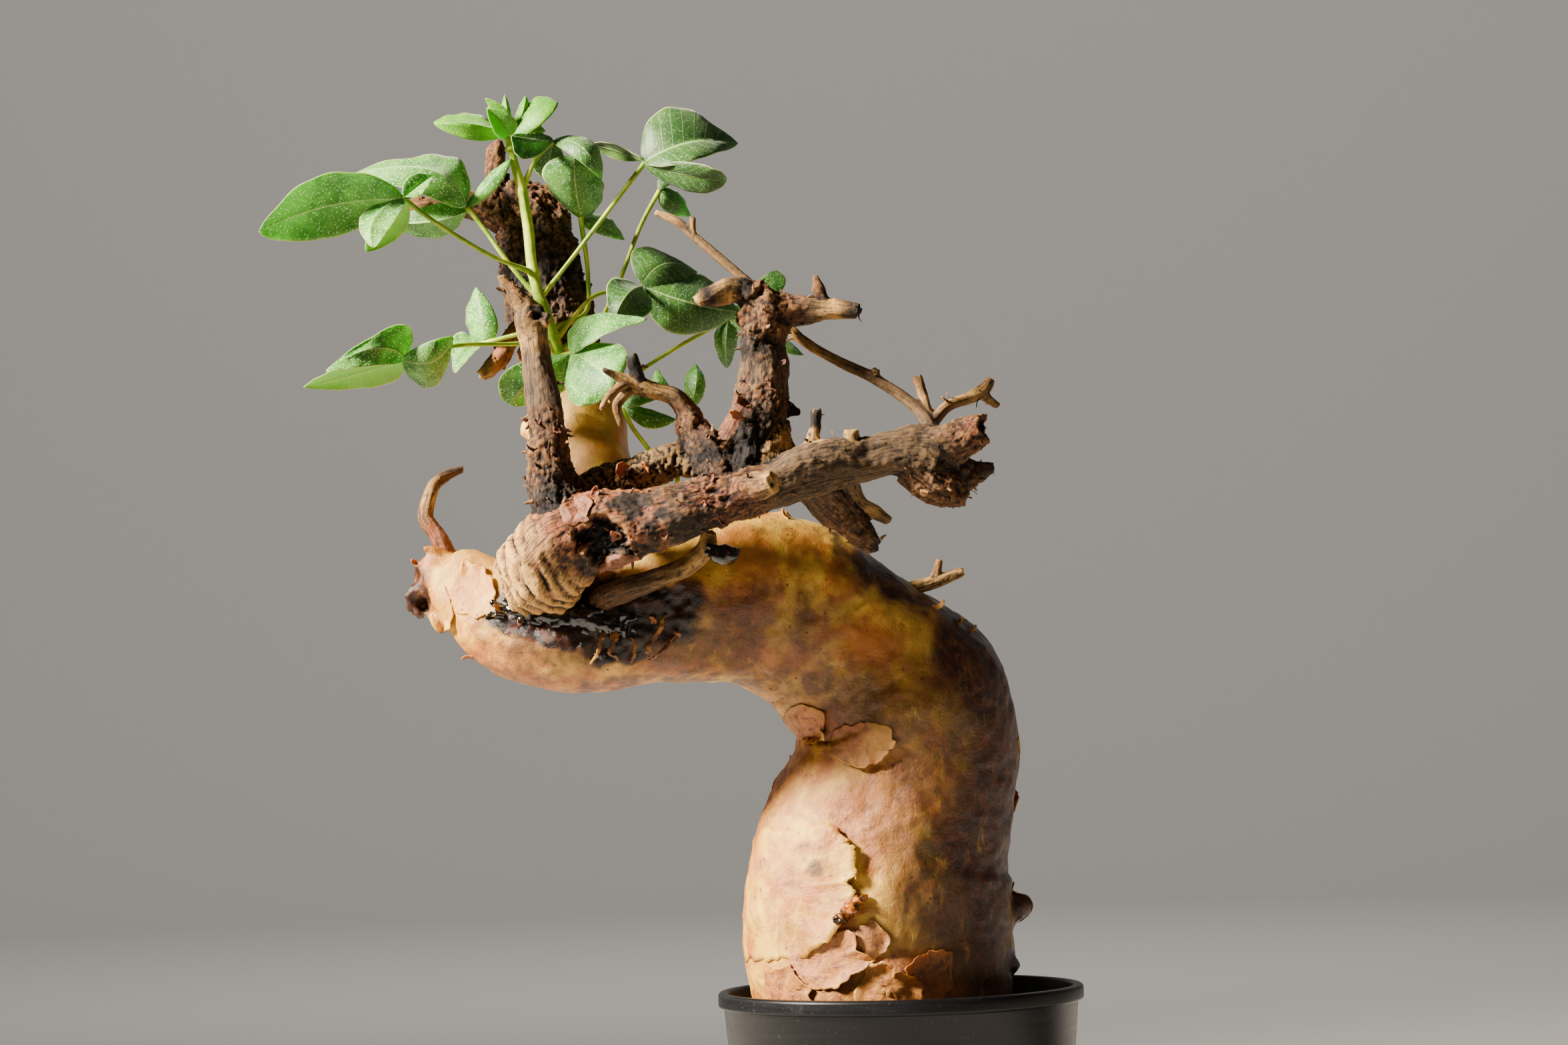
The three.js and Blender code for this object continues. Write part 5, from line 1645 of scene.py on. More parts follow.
@dataclass
class BranchBark:
    """The flakes and curls of pinkish bark that hang on the dead branches."""

    flakes: tuple[Flake, ...] = (
        Flake(((-94, 245), (-88, 249), (-79, 247), (-77, 242), (-84, 238), (-92, 239)), 2.6, -80, 120, 1,
              0.2),
        Flake(((-83, 240), (-77, 243), (-73, 240), (-76, 235), (-82, 236)), 2.2, -100, 120, 0.8, 0.1),
        Flake(((-105, 264), (-99, 268), (-93, 265), (-95, 258), (-102, 257)), 0.5, 20, 110, 1, 0.2),
    )
    curls: tuple[Curl, ...] = (
        Curl((-88, -74, 251), (1, 0, 0.1), 4, 4, 1, 0.8),
        Curl((-84, -56, 274), (-0.8, 0, 0.6), 6, 5, 1.5, 0.6, 0.2),
        Curl((-78, -56, 275), (0.6, 0, 0.6), 5, 3.4, 1.8, 0.3),
        Curl((-94, -68, 266), (0.4, 0, 1), 5, 3, 2.2, 0.8, 0.2),
        Curl((-56, -66, 268), (-0.3, 0, 1), 5, 2.8, 2, 0.8, 0.4),
        Curl((-60, -70, 262), (0.8, 0, 0.8), 4, 2.4, 2.6, 0.9, 0.3),
        Curl((-53, -68, 258), (0.5, 0, -1), 4, 2.2, 2.4, 0.8, 0.4),
        Curl((-72, -72, 255), (0.2, 0, -1), 4, 2.4, 2, 0.7, 0.4),
        Curl((-47, -58, 289), (-0.4, -0.2, 1), 7, 3.4, 1.6, 0.6, 0.1),
        Curl((-46, -55, 296), (-1, 0, 0.2), 4, 2.4, 2, 0.8, 0.4),
        Curl((-38, -54, 301), (0.6, 0, 0.8), 4, 2.4, 2.2, 0.8, 0.5),
        Curl((-34, -53, 308), (1, 0, 0.2), 4, 2, 2, 0.7, 0.6),
    )
    ring_at: Point = (-108.0, -58.0, 289.0)
    ring_radius: float = 6.0
    ring_count: int = 6

    def ring(self) -> list[Curl]:
        """List the shreds round the upright branch."""
        x, y, z = self.ring_at
        reach = self.ring_radius
        found = []
        for i in range(self.ring_count):
            turn = 2 * math.pi * i / self.ring_count
            root = (x + reach * math.cos(turn), y + reach * math.sin(turn), z + 3 * math.sin(5 * i))
            heading = (0.3 * math.sin(3 * i), 0.3 * math.cos(3 * i), -1)
            found.append(Curl(root, heading, 3.0, 2.4, 1.4, 1.0, 0.7))
        return found

    def build(self, finish: Material, branches: Object) -> None:
        """Lay the flakes and curls on the branches.

        Args:
            finish: The bark's material.
            branches: The piece that they hang on.
        """
        PeelingBark(finish, Skin(branches), "branch_bark", slot="dead_wood", flakes=self.flakes, scattered=0,
                    ridges=(), spots=(), curls=(*self.curls, *self.ring())).build()


# Strewn pieces


@dataclass
class Strewing:
    """Strews copies of one small shape, which faces +Z, over a host, by Geometry Nodes. Density is copies
    on a square centimetre where what the host keeps by the name in where is 1. Sizes are the least and
    the most, as shares of the shape's own, and tilt is how far a copy tips, in degrees.
    """

    name: str
    host: Object
    shape: Shell
    finish: Material
    slot: str
    density: float
    sizes: Pair = (0.5, 1.5)
    where: str = "shag"
    tilt: float = 25.0
    seed: int = 3

    def tree(self) -> NodeTree:
        """Build the nodes.

        Returns:
            The node tree, whose inputs are named.
        """
        tree = bpy.data.node_groups.new(f"strew_{self.name}", "GeometryNodeTree")
        face = tree.interface
        face.new_socket("Geometry", in_out="OUTPUT", socket_type="NodeSocketGeometry")
        inputs = {"Host": "Geometry", "Shape": "Object", "Finish": "Material", "Density": "Float",
                  "Smallest": "Float", "Largest": "Float", "Tilt": "Float", "Seed": "Int"}
        for label, kind in inputs.items():
            face.new_socket(label, in_out="INPUT", socket_type=f"NodeSocket{kind}")

        def add(kind: str, feeds: Feeds, output: int | str = 0, **settings: object) -> NodeSocket:
            """Add a node and give one of its outputs."""
            return add_node(tree, kind, feeds, **settings).outputs[output]

        given = add_node(tree, "NodeGroupInput", {}).outputs
        tilt, seed = given["Tilt"], given["Seed"]
        kept = add("GeometryNodeInputNamedAttribute", {"Name": self.where}, "Attribute", data_type="FLOAT")
        amount = add("ShaderNodeMath", {0: given["Density"], 1: kept}, operation="MULTIPLY")
        feeds = {"Mesh": given["Host"], "Density": amount, "Seed": seed}
        spread = add_node(tree, "GeometryNodeDistributePointsOnFaces", feeds).outputs
        feeds = {2: given["Smallest"], 3: given["Largest"]}
        size = add("FunctionNodeRandomValue", feeds, 1, data_type="FLOAT")
        minus = add("ShaderNodeMath", {0: tilt, 1: -1.0}, operation="MULTIPLY")
        low = add("ShaderNodeCombineXYZ", {0: minus, 1: minus})
        high = add("ShaderNodeCombineXYZ", {0: tilt, 1: tilt, 2: 2 * math.pi})
        turn = add("FunctionNodeRandomValue", {0: low, 1: high}, data_type="FLOAT_VECTOR")
        feeds = {0: spread["Rotation"], 1: add("FunctionNodeEulerToRotation", {0: turn})}
        tipped = add("FunctionNodeRotateRotation", feeds, rotation_space="LOCAL")
        shape = add("GeometryNodeObjectInfo", {"Object": given["Shape"]}, "Geometry")
        feeds = {"Points": spread["Points"], "Instance": shape, "Rotation": tipped, "Scale": size}
        real = add("GeometryNodeRealizeInstances", {0: add("GeometryNodeInstanceOnPoints", feeds)})
        dressed = add("GeometryNodeSetMaterial", {"Geometry": real, "Material": given["Finish"]})
        add_node(tree, "NodeGroupOutput", {0: dressed})
        return tree

    def build(self) -> None:
        """Strew the copies."""
        model = make_object(f"{self.name}_shape", [self.shape], [self.finish])
        made = bpy.data.objects.new(self.name, self.host.data)
        bpy.context.scene.collection.objects.link(made)
        modifier = made.modifiers.new("strew", "NODES")
        modifier.node_group = self.tree()
        values = {
            "Shape": model, "Finish": self.finish, "Density": self.density * 1e4, "Smallest": self.sizes[0],
            "Largest": self.sizes[1], "Tilt": math.radians(self.tilt), "Seed": self.seed,
        }
        for item in modifier.node_group.interface.items_tree:
            if item.in_out == "INPUT" and item.name in values:
                modifier[item.identifier] = values[item.name]
        plain(made)
        bpy.data.objects.remove(model)
        settle(made, self.slot)


def crumb(width: float, seed: int) -> Shell:
    """Make a small angular crumb.

    Args:
        width: About how wide it is.
        seed: Which crumb it is.

    Returns:
        Its closed mesh, of twenty faces.
    """
    golden = (1 + math.sqrt(5)) / 2
    corners = []
    for a in (-1, 1):
        for b in (-golden, golden):
            corners += [(0, a, b), (a, b, 0), (b, 0, a)]
    points = unit(np.array(corners, float))
    faces = []
    side = np.linalg.norm(points[:, None] - points[None], axis=2)
    near = (side > 0.1) & (side < 1.2)
    for i in range(12):
        for j in range(i + 1, 12):
            for k in range(j + 1, 12):
                if near[i, j] and near[j, k] and near[i, k]:
                    outwards = np.cross(points[j] - points[i], points[k] - points[i]) @ points[i]
                    faces.append((i, j, k) if outwards > 0 else (i, k, j))
    points = points * (1 + 0.4 * noise(points, 0.9, seed, 2))[:, None]
    return Shell(points * np.array([0.6, 0.5, 0.4]) * width, faces)


def shred(length: float, width: float, bend: float, tones: Sequence[float], thickness: float = 0.14) -> Shell:
    """Make a thin curled shred that starts flat along +X and curls up towards +Z.

    Args:
        length: How long it is.
        width: How wide it is.
        bend: How far it curls, in radians.
        tones: Its shares of the dead wood's tones.
        thickness: How thick it is.

    Returns:
        Its closed mesh.
    """
    share = np.linspace(0, 1, 6)
    turn = 0.1 + bend * share
    line = np.cumsum(np.stack([np.cos(turn), 0 * turn, np.sin(turn)], axis=1), axis=0) * length / len(share)
    half = width / 2 * (1 - 0.7 * share**2)
    across = np.array([-1.0, 1.0])
    grid = line[:, None, :] + np.array([0, 1, 0]) * (half[:, None] * across)[..., None]
    shell = closed_sheet(grid, thickness)
    shell.tones("wood_shares")[:] = tones
    return shell


# Leaves

Blade = tuple[Point, Point, Point, Point, Point]


@dataclass
class Leaf:
    """A stalk with its leaflets, each given by base, tip, one side, other side and the rib's middle."""

    stalk: tuple[Point, ...]
    blades: tuple[Blade, ...]
    slot: str = "leaf"
    rows: int = 34
    columns: int = 19
    thickness: float = 0.42
    stalk_radius: float = 0.8
    cup: float = 0.07
    wave: float = 0.03
    light: Point = (-0.2, -0.75, 0.6)
    # How far the whole leaf is darkened, from 0 to 1: painted shade.
    shade: float = 0.0

    def blade_shell(self, blade: Blade, turn: int) -> Shell:
        """Make one leaflet.

        Args:
            blade: Its five points.
            turn: Which leaflet it is.

        Returns:
            Its closed mesh, which keeps each point's place on the blade.
        """
        base, tip, left, right, middle = (np.array(point, float) for point in blade)
        control = 2 * middle - (base + tip) / 2
        u = np.linspace(0, 1, self.rows)[:, None]
        rib = (1 - u) ** 2 * base + 2 * u * (1 - u) * control + u**2 * tip
        along = unit(2 * (1 - u) * (control - base) + 2 * u * (tip - control))
        bow = np.maximum(np.sin(np.pi * u**0.9), 0) ** 0.72 * 0.97 + 0.03
        v = np.linspace(-1, 1, self.columns)[None, :]
        reach = np.where((v < 0)[..., None], (left - middle)[None, None], (right - middle)[None, None])
        length = np.linalg.norm(reach, axis=2)
        out = np.abs(v)
        waving = self.wave * v**2 * np.sin(3 * np.pi * u + 1.5 * np.sign(v))
        waving = waving + 0.02 * v**2 * np.sin(8 * np.pi * u + 2.4 * turn + np.sign(v))
        up = unit(np.cross(right - left, along))[:, None, :]
        cupped = self.cup * 4 * (out - out**2) * bow
        veins = 0.012 * np.sin(2 * np.pi * (9 * u - 3.2 * out)) * (out - out**2) * 4 * bow
        crease = -0.035 * np.exp(-((out / 0.07) ** 2)) * bow
        side = unit(np.cross(reach, along[:, None, :]))
        grid = rib[:, None, :] + reach * (out * bow)[..., None] + side * (waving * length)[..., None]
        grid = grid + up * ((cupped + veins + crease) * length)[..., None]
        thick = self.thickness * (1 - 0.6 * out**6) * (0.6 + 0.4 * bow) + 0.25 * np.exp(-((out / 0.05) ** 2))
        shell = closed_sheet(grid, thick[..., None])
        shares = shell.kept.pop("sheet_shares")
        if float(np.cross(right - left, tip - base) @ np.array(self.light)) < 0:
            shares[:, 2] = 1 - shares[:, 2]
        # The fourth share is the leaf's painted shade.
        shares[:, 3] = self.shade
        shell.kept["blade_shares"] = shares
        return shell

    def stalk_shell(self) -> Shell:
        """Make the stalk, a little swollen at both ends."""
        count = len(self.stalk)
        swell = [1.45] + [0.95] * (count - 2) + [1.1]
        stations = tuple((*point, self.stalk_radius * share) for point, share in zip(self.stalk, swell))
        shell = limb_shell(Limb(stations, gnarl=0.0), 0.7)
        shell.finish = 1
        shell.tones("blade_shares")
        return shell

    def build(self, node: str, finishes: Sequence[Material]) -> None:
        """Make the leaf.

        Args:
            node: The CAD node that it stands for.
            finishes: The material of the blades and that of the stalk.
        """
        shells = [self.blade_shell(blade, i) for i, blade in enumerate(self.blades)]
        settle(make_object(f"{node}_fine", [*shells, self.stalk_shell()], finishes), self.slot, node)


@dataclass
class GreenShoot:
    """The living shoot, its leaves and the young tuft at its tip."""

    shoot: Run = (
        (-105, 13, 310, 2.2), (-107, 5, 317, 2), (-110, 3, 327, 2), (-113, 3, 336, 1.9), (-115, 4, 346, 1.8),
        (-116, 5, 359, 1.8), (-118, 6, 372, 1.7), (-120, 6, 380, 1.4), (-122, 6, 389, 1.3),
    )
    joints: tuple[float, ...] = (317, 323, 334, 344, 371)
    # Leaves that sit in shade are darkened by their painted shade.
    leaves: dict[str, Leaf] = field(default_factory=lambda: {
        "leaf_upper_right": Leaf(((-112, 3, 336), (-107, 4, 342), (-92, 8, 361), (-77, 10, 380)), (
            ((-77, 10, 380), (-46, 22, 387), (-69, 16, 399), (-61, 0, 379), (-62, 8, 386)),
            ((-77, 9, 379), (-50, 0, 372), (-57, -6, 377), (-61, 4, 369), (-61, 0, 374)),
            ((-78, 10, 381), (-96, 28, 389), (-87, 16, 387), (-89, 27, 384), (-87, 22, 386)),
        ), shade=0.75),
        "leaf_far_left": Leaf(
            ((-115, 4, 344), (-121, -3, 346), (-128, -6, 349), (-146, -18, 360), (-155, -22, 367)), (
            ((-155, -22, 367), (-200, -40, 356), (-178, -38, 374), (-182, -24, 354), (-179, -27, 365)),
            ((-155, -23, 367), (-163, -46, 349), (-168, -34, 360), (-157, -40, 357), (-163, -38, 359)),
            ((-155, -21, 367), (-168, -12, 351), (-166, -16, 357), (-156, -10, 357), (-161, -13, 359)),
            ((-155, -21, 367), (-146, -12, 375), (-153, -16, 375), (-148, -22, 369), (-150, -15, 372)),
        )),
        "leaf_arching": Leaf(
            ((-112, 3, 334), (-118, 3, 341), (-124, 2, 349), (-130, 2, 358), (-136, 2, 366)), (
            ((-136, 2, 366), (-175, 2, 377), (-144, 14, 385), (-156, -6, 372), (-148, -4, 378)),
            ((-136, 2, 366), (-121, 4, 382), (-130, 8, 376), (-126, 2, 372), (-128, 2, 374)),
            ((-136, 3, 365), (-163, 14, 363), (-148, 9, 368), (-148, 13, 357), (-148, 6, 362)),
        )),
        "leaf_lower_left": Leaf(((-108, 4, 321), (-121, -2, 320), (-140, -14, 319), (-156, -28, 314)), (
            ((-155, -28, 314), (-179, -46, 310), (-157, -34, 325), (-167, -44, 311), (-164, -40, 317)),
            ((-156, -27, 314), (-188, -30, 306), (-173, -36, 312), (-165, -20, 306), (-172, -26, 310)),
            ((-156, -28, 314), (-140, -20, 321), (-145, -32, 320), (-147, -22, 305), (-146, -31, 313)),
        ), shade=0.15),
        "leaf_back_left": Leaf(((-109, 4, 324), (-118, 5, 324), (-128, 6, 322), (-133, 8, 321)), (
            ((-132, 8, 321), (-134, 10, 340), (-138, 14, 329), (-127, 6, 328), (-132, 6, 329)),
            ((-133, 8, 321), (-141, -2, 311), (-142, 10, 324), (-136, -2, 316), (-139, 2, 318)),
        )),
        "leaf_centre": Leaf(((-106, 6, 316), (-104, -4, 316), (-102, -8, 316)), (
            ((-102, -8, 316), (-77, -16, 326), (-99, 0, 328), (-92, -20, 320), (-95, -12, 324)),
            ((-102, -9, 316), (-89, -26, 301), (-84, -22, 316), (-102, -16, 299), (-92, -24, 309)),
            ((-102, -8, 316), (-123, -8, 300), (-124, -14, 310), (-107, -4, 303), (-115, -14, 308)),
        )),
        "leaf_heart": Leaf(
            ((-108, 4, 321), (-101, 6, 330), (-95, 10, 336), (-88, 14, 338), (-79, 16, 339)), (
            ((-79, 15, 339), (-88, -2, 327), (-90, 4, 340), (-77, 4, 329), (-84, 0, 335)),
            ((-79, 16, 340), (-61, 32, 345), (-80, 22, 353), (-68, 20, 340), (-71, 20, 347)),
            ((-78, 16, 339), (-47, 30, 331), (-61, 30, 344), (-68, 16, 323), (-62, 16, 333)),
        ), shade=0.6),
        "leaf_pale": Leaf(((-109, 4, 325), (-98, 11, 331), (-97, 13, 343), (-99, 15, 363)), (
            ((-99, 15, 363), (-100, 2, 382), (-111, 6, 377), (-91, 16, 373), (-100, 4, 373)),
            ((-99, 16, 363), (-85, 26, 356), (-91, 26, 364), (-95, 16, 358), (-92, 18, 360)),
        ), shade=0.25),
        "leaf_behind": Leaf(
            ((-107, 4, 318), (-97, 8, 323), (-89, 20, 337), (-79, 30, 362), (-73, 34, 373)), (
            ((-73, 34, 373), (-63, 42, 365), (-67, 40, 373), (-71, 34, 366), (-69, 34, 369)),
            ((-73, 34, 373), (-66, 44, 384), (-72, 38, 380), (-66, 36, 379), (-69, 36, 379)),
        ), shade=0.5),
        "leaf_top": Leaf(((-118, 6, 371), (-113, 8, 382), (-107, 8, 388)), (
            ((-107, 7, 388), (-120, -9, 388), (-113, 1, 390), (-116, -11, 380), (-114, -4, 387)),
            ((-107, 8, 388), (-91, 0, 374), (-94, 4, 387), (-100, -4, 381), (-97, -4, 384)),
            ((-107, 9, 388), (-110, 22, 377), (-115, 18, 382), (-104, 16, 380), (-109, 16, 382)),
        ), shade=0.45),
        "leaf_rear_right": Leaf(((-96, 18, 298), (-80, 24, 312), (-57, 35, 326), (-51, 37, 329)), (
            ((-51, 37, 329), (-52, 43, 313), (-56, 39, 322), (-48, 39, 322), (-52, 35, 320)),
            ((-51, 37, 329), (-26, 31, 316), (-38, 35, 326), (-38, 29, 319), (-38, 29, 322)),
            ((-51, 37, 329), (-34, 47, 346), (-41, 45, 342), (-33, 41, 338), (-39, 41, 339)),
        ), shade=0.45),
        "rear_shoot": Leaf(((-73, -4, 252), (-76, 8, 280), (-84, 10, 293), (-86, 6, 299)), (
            ((-86, 6, 299), (-71, 8, 303), (-80, 6, 305), (-79, 0, 299), (-79, 2, 302)),
            ((-86, 6, 299), (-69, 4, 294), (-79, 3, 298), (-78, 0, 291), (-79, 0, 295)),
        ), shade=0.3),
        "rear_sprig": Leaf(((-70, -4, 252), (-68, 14, 283), (-64, 16, 299)), (
            ((-64, 16, 298), (-62, 20, 313), (-66, 18, 307), (-59, 16, 305), (-62, 14, 306)),
            ((-65, 16, 297), (-75, 22, 312), (-76, 20, 304), (-71, 18, 306), (-73, 16, 304)),
        )),
        "apical_tuft": Leaf(((-121, 6, 385), (-121.5, 6, 388), (-122, 6, 392)), (
            ((-122, 6, 389), (-129, 2, 402), (-126, 8, 395), (-121, 2, 397), (-125, 4, 396)),
            ((-122, 5, 389), (-128, -5, 398), (-126, -3, 390), (-119, -4, 394), (-124, -1, 393)),
            ((-122, 7, 389), (-123, 10, 404), (-124, 9, 397), (-121, 9, 397), (-122, 7, 397)),
            ((-121, 7, 390), (-116, 8, 403), (-119, 8, 398), (-115, 8, 397), (-117, 5, 397)),
            ((-121, 6, 390), (-105, 4, 400), (-114, 10, 402), (-111, 0, 392), (-113, 2, 396)),
            ((-121, 7, 389), (-110, 14, 392), (-116, 12, 396), (-115, 8, 389), (-115, 8, 392)),
            ((-123, 6, 391), (-146, 2, 394), (-136, 8, 398), (-134, 0, 388), (-135, -2, 393)),
        ), "young_leaf", rows=22, columns=13, thickness=0.35, stalk_radius=1.5),
    })

    def stem_shell(self) -> Shell:
        """Make the shoot, with a low ring where each leaf stalk leaves it."""
        limb = Limb(self.shoot, gnarl=0.02)
        shell = limb_shell(limb, 0.5)
        fit = fit_limbs(shell.points, [limb], 0.8)
        gaps = np.abs(shell.points[:, None, 2] - np.array(self.joints)).min(axis=1)
        line = line_of(limb, 0.8)
        nearest = np.argmin(np.linalg.norm(shell.points[:, None] - line.centre[None], axis=2), axis=1)
        outwards = unit(shell.points - line.centre[nearest])
        ring = 0.3 * np.exp(-((gaps / 1.3) ** 2)) + 0.08 * noise(fit.wrapped(6), 0.8, 41)
        shell.points = shell.points + outwards * ring[:, None]
        return shell

    def build(self, leaf: Material, young: Material, stem: Material) -> None:
        """Make the shoot and every leaf.

        Args:
            leaf: The grown leaves' material.
            young: The tuft's material.
            stem: The material of the shoot and the stalks.
        """
        settle(make_object("green_stem", [self.stem_shell()], [stem]), "green_stem", "green_shoot")
        for node, each in self.leaves.items():
            each.build(node, [young if each.slot == "young_leaf" else leaf, stem])


# Resin


@dataclass
class Resin:
    """Resin that has run and set in lumps and beads."""

    finish: Material
    beads: Material
    bark: Skin
    wound: Run = (
        (-127, -37, 232, 2.6), (-121, -38.5, 231, 3.2), (-115, -40.5, 231, 3.4), (-109, -42, 230, 3.6),
        (-103, -42, 229, 3.6), (-97, -42, 228, 3.6), (-91, -42, 226, 3.2), (-85, -42.5, 224, 2.4),
    )
    stub: Run = (
        (-57, -61, 250, 1.6), (-55.5, -62, 247.8, 3), (-52, -62, 247, 3.3), (-49, -61, 247.6, 1.8),
    )
    base: Run = (
        (-19.5, -41.4, 130, 2.7), (-17.6, -41, 131.8, 1.2), (-16.2, -42, 133.2, 2.9), (-14.2, -41, 135, 1.2),
        (-12.8, -41.4, 136.4, 2.2),
    )
    voxel: float = 0.32

    def lumps(self, run: Run, spread: float) -> list[Limb]:
        """List a run and the lumps that cling to it.

        Args:
            run: The run.
            spread: How far the lumps lie from it, as a share of its radius.

        Returns:
            The limbs to be grown together.
        """
        draw = np.random.default_rng(67)
        limbs = [Limb(run, gnarl=0.02)]
        for x, y, z, radius in run * 4:
            place = np.array([x, y, z]) + draw.uniform(-1, 1, 3) * spread * radius
            ground, facing = self.bark.nearest(place)
            reach = radius * draw.uniform(0.3, 0.6)
            start = ground + 0.3 * reach * facing if spread > 1 else place
            end = start + draw.uniform(-0.6, 0.6, 3) * radius * np.array([1.6, 0.3, 1.0])
            limbs.append(Limb(((*start, reach), (*end, reach * 0.8)), gnarl=0.02))
        return limbs

    def build(self) -> None:
        """Make the three runs."""
        runs = {
            "wound_resin": (self.wound, 1.5, 0.3, self.finish),
            "stub_resin": (self.stub, 0.5, 0.15, self.finish),
            "base_resin": (self.base, 0.4, 0.05, self.beads),
        }
        for node, (run, spread, rough, finish) in runs.items():
            shells = [limb_shell(limb, 0.6) for limb in self.lumps(run, spread)]
            piece = grown_together(f"{node}_runs", shells, self.voxel, [finish])
            relaxed(piece.data, 4)
            points = read_points(piece.data)
            raised = rough * (noise(points, 3.2, 51, 2) + 0.5 * noise(points, 1.6, 52, 2))
            write_points(piece.data, points + read_normals(piece.data) * raised[:, None])
            relaxed(piece.data, 1)
            settle(piece, "resin", node)


# Pot and soil


def arc(centre: Pair, radius: float, start: float, end: float, count: int = 6) -> list[Pair]:
    """List points on an arc, from one angle to another in degrees."""
    turns = [math.radians(start + (end - start) * i / count) for i in range(count + 1)]
    return [(centre[0] + radius * math.cos(turn), centre[1] + radius * math.sin(turn)) for turn in turns]


def lathe(outline: Sequence[Pair], segments: int) -> Shell:
    """Turn an outline whose ends lie on the Z axis about that axis.

    Args:
        outline: Radius and height, from the bottom round to the top.
        segments: How many steps the turn has.

    Returns:
        The closed mesh.
    """
    inner = np.array(outline[1:-1])
    turn = np.linspace(0, 2 * math.pi, segments, endpoint=False)
    radii, heights = inner[:, :1], np.repeat(inner[:, 1:], segments, axis=1)
    shell = tube(np.stack([radii * np.cos(turn), radii * np.sin(turn), heights], axis=2))
    shell.points[-2:] = [(0, 0, outline[0][1]), (0, 0, outline[-1][1])]
    return shell


@dataclass
class Pot:
    """The round black pot with its rolled lip and drain holes, and the soil in it."""

    height: float = 105.0
    rim_radius: float = 60.0
    wall: float = 2.0
    taper: float = math.tan(math.radians(4.8))
    lip_height: float = 5.0
    lip_overhang: float = 1.4
    floor: float = 3.0
    foot_round: float = 2.0
    holes: int = 6
    hole_radius: float = 4.5
    hole_ring: float = 34.0
    soil_below_rim: float = 8.0
    soil_clearance: float = 0.3
    segments: int = 144

    def wall_radius(self, height: float) -> float:
        """Give the wall's outer radius at a height."""
        return self.rim_radius - self.lip_overhang - (self.height - height) * self.taper

    def shell(self) -> Shell:
        """Turn the pot's wall, floor and lip."""
        top, rim, lip = self.height, self.rim_radius, self.height - self.lip_height
        bore = self.wall_radius(top) - self.wall
        foot = self.wall_radius(self.foot_round)
        low_bore = self.wall_radius(self.floor) - self.wall
        outline = [
            (0, 0.6), (foot - 9, 0.6), *arc((foot - 8, 0.6), 0.6, 180, 270, 3),
            *arc((foot - self.foot_round, self.foot_round), self.foot_round, -90, 0),
            (self.wall_radius(lip * 0.5), lip * 0.5), (self.wall_radius(lip - 0.6), lip - 0.6),
            *arc((rim - 0.9, lip + 0.9), 0.9, -90, 0, 4),
            *arc((rim - 1.3, top - 1.3), 1.3, 0, 90, 6),
            *arc((bore + 1.0, top - 1.0), 1.0, 90, 180, 5),
            (bore - 0.25, top - self.lip_height), (low_bore + 0.2, self.floor + 2),
            *arc((low_bore - 2, self.floor + 2), 2, 0, -90, 4), (0, self.floor),
        ]
        return lathe(outline, self.segments)

    def build(self, finish: Material) -> None:
        """Make the pot and cut its drain holes.

        Args:
            finish: The pot's material.
        """
        pot = make_object("pot_shell", [self.shell()], [finish])
        drills = []
        for i in range(self.holes):
            turn = 2 * math.pi * i / self.holes
            drill = lathe([(0, -2), (self.hole_radius, -2), (self.hole_radius, 6), (0, 6)], 28)
            drill.points += np.array([self.hole_ring * math.cos(turn), self.hole_ring * math.sin(turn), 0])
            drills.append(drill)
        cutter = make_object("drills", drills, [finish])
        cut = pot.modifiers.new("holes", "BOOLEAN")
        cut.operation = "DIFFERENCE"
        cut.object = cutter
        cut.solver = "EXACT"
        plain(pot)
        bpy.data.objects.remove(cutter)
        settle(pot, "pot", "pot")

    def soil(self, finish: Material) -> Object:
        """Fill the pot.

        Args:
            finish: The soil's material.

        Returns:
            The bed, without its loose crumbs.
        """
        level = self.height - self.soil_below_rim
        bottom = self.floor + self.soil_clearance
        reach = self.wall_radius(level) - self.wall - self.soil_clearance
        low_reach = self.wall_radius(bottom) - self.wall - self.soil_clearance - 0.3
        radii = np.linspace(reach, 2, 46)
        outline = [(0, bottom), (low_reach, bottom), *[(radius, level) for radius in radii], (0, level)]
        shell = lathe(outline, self.segments)
        top = shell.points[:, 2] > level - 1
        grit = 1.1 * noise(shell.points, 9, 55) + 1.2 * (crackle(shell.points, 3.4, 56) - 0.4)
        shell.points[:, 2] += np.where(top, grit, 0)
        bed = make_object("soil_bed", [shell], [finish])
        near = np.linalg.norm(shell.points[:, :2], axis=1)
        store(bed.data, "loose", np.where(top, 1.0, 0.0) * (near < reach - 0.8))
        settle(bed, "soil", "soil")
        return bed


# Studio


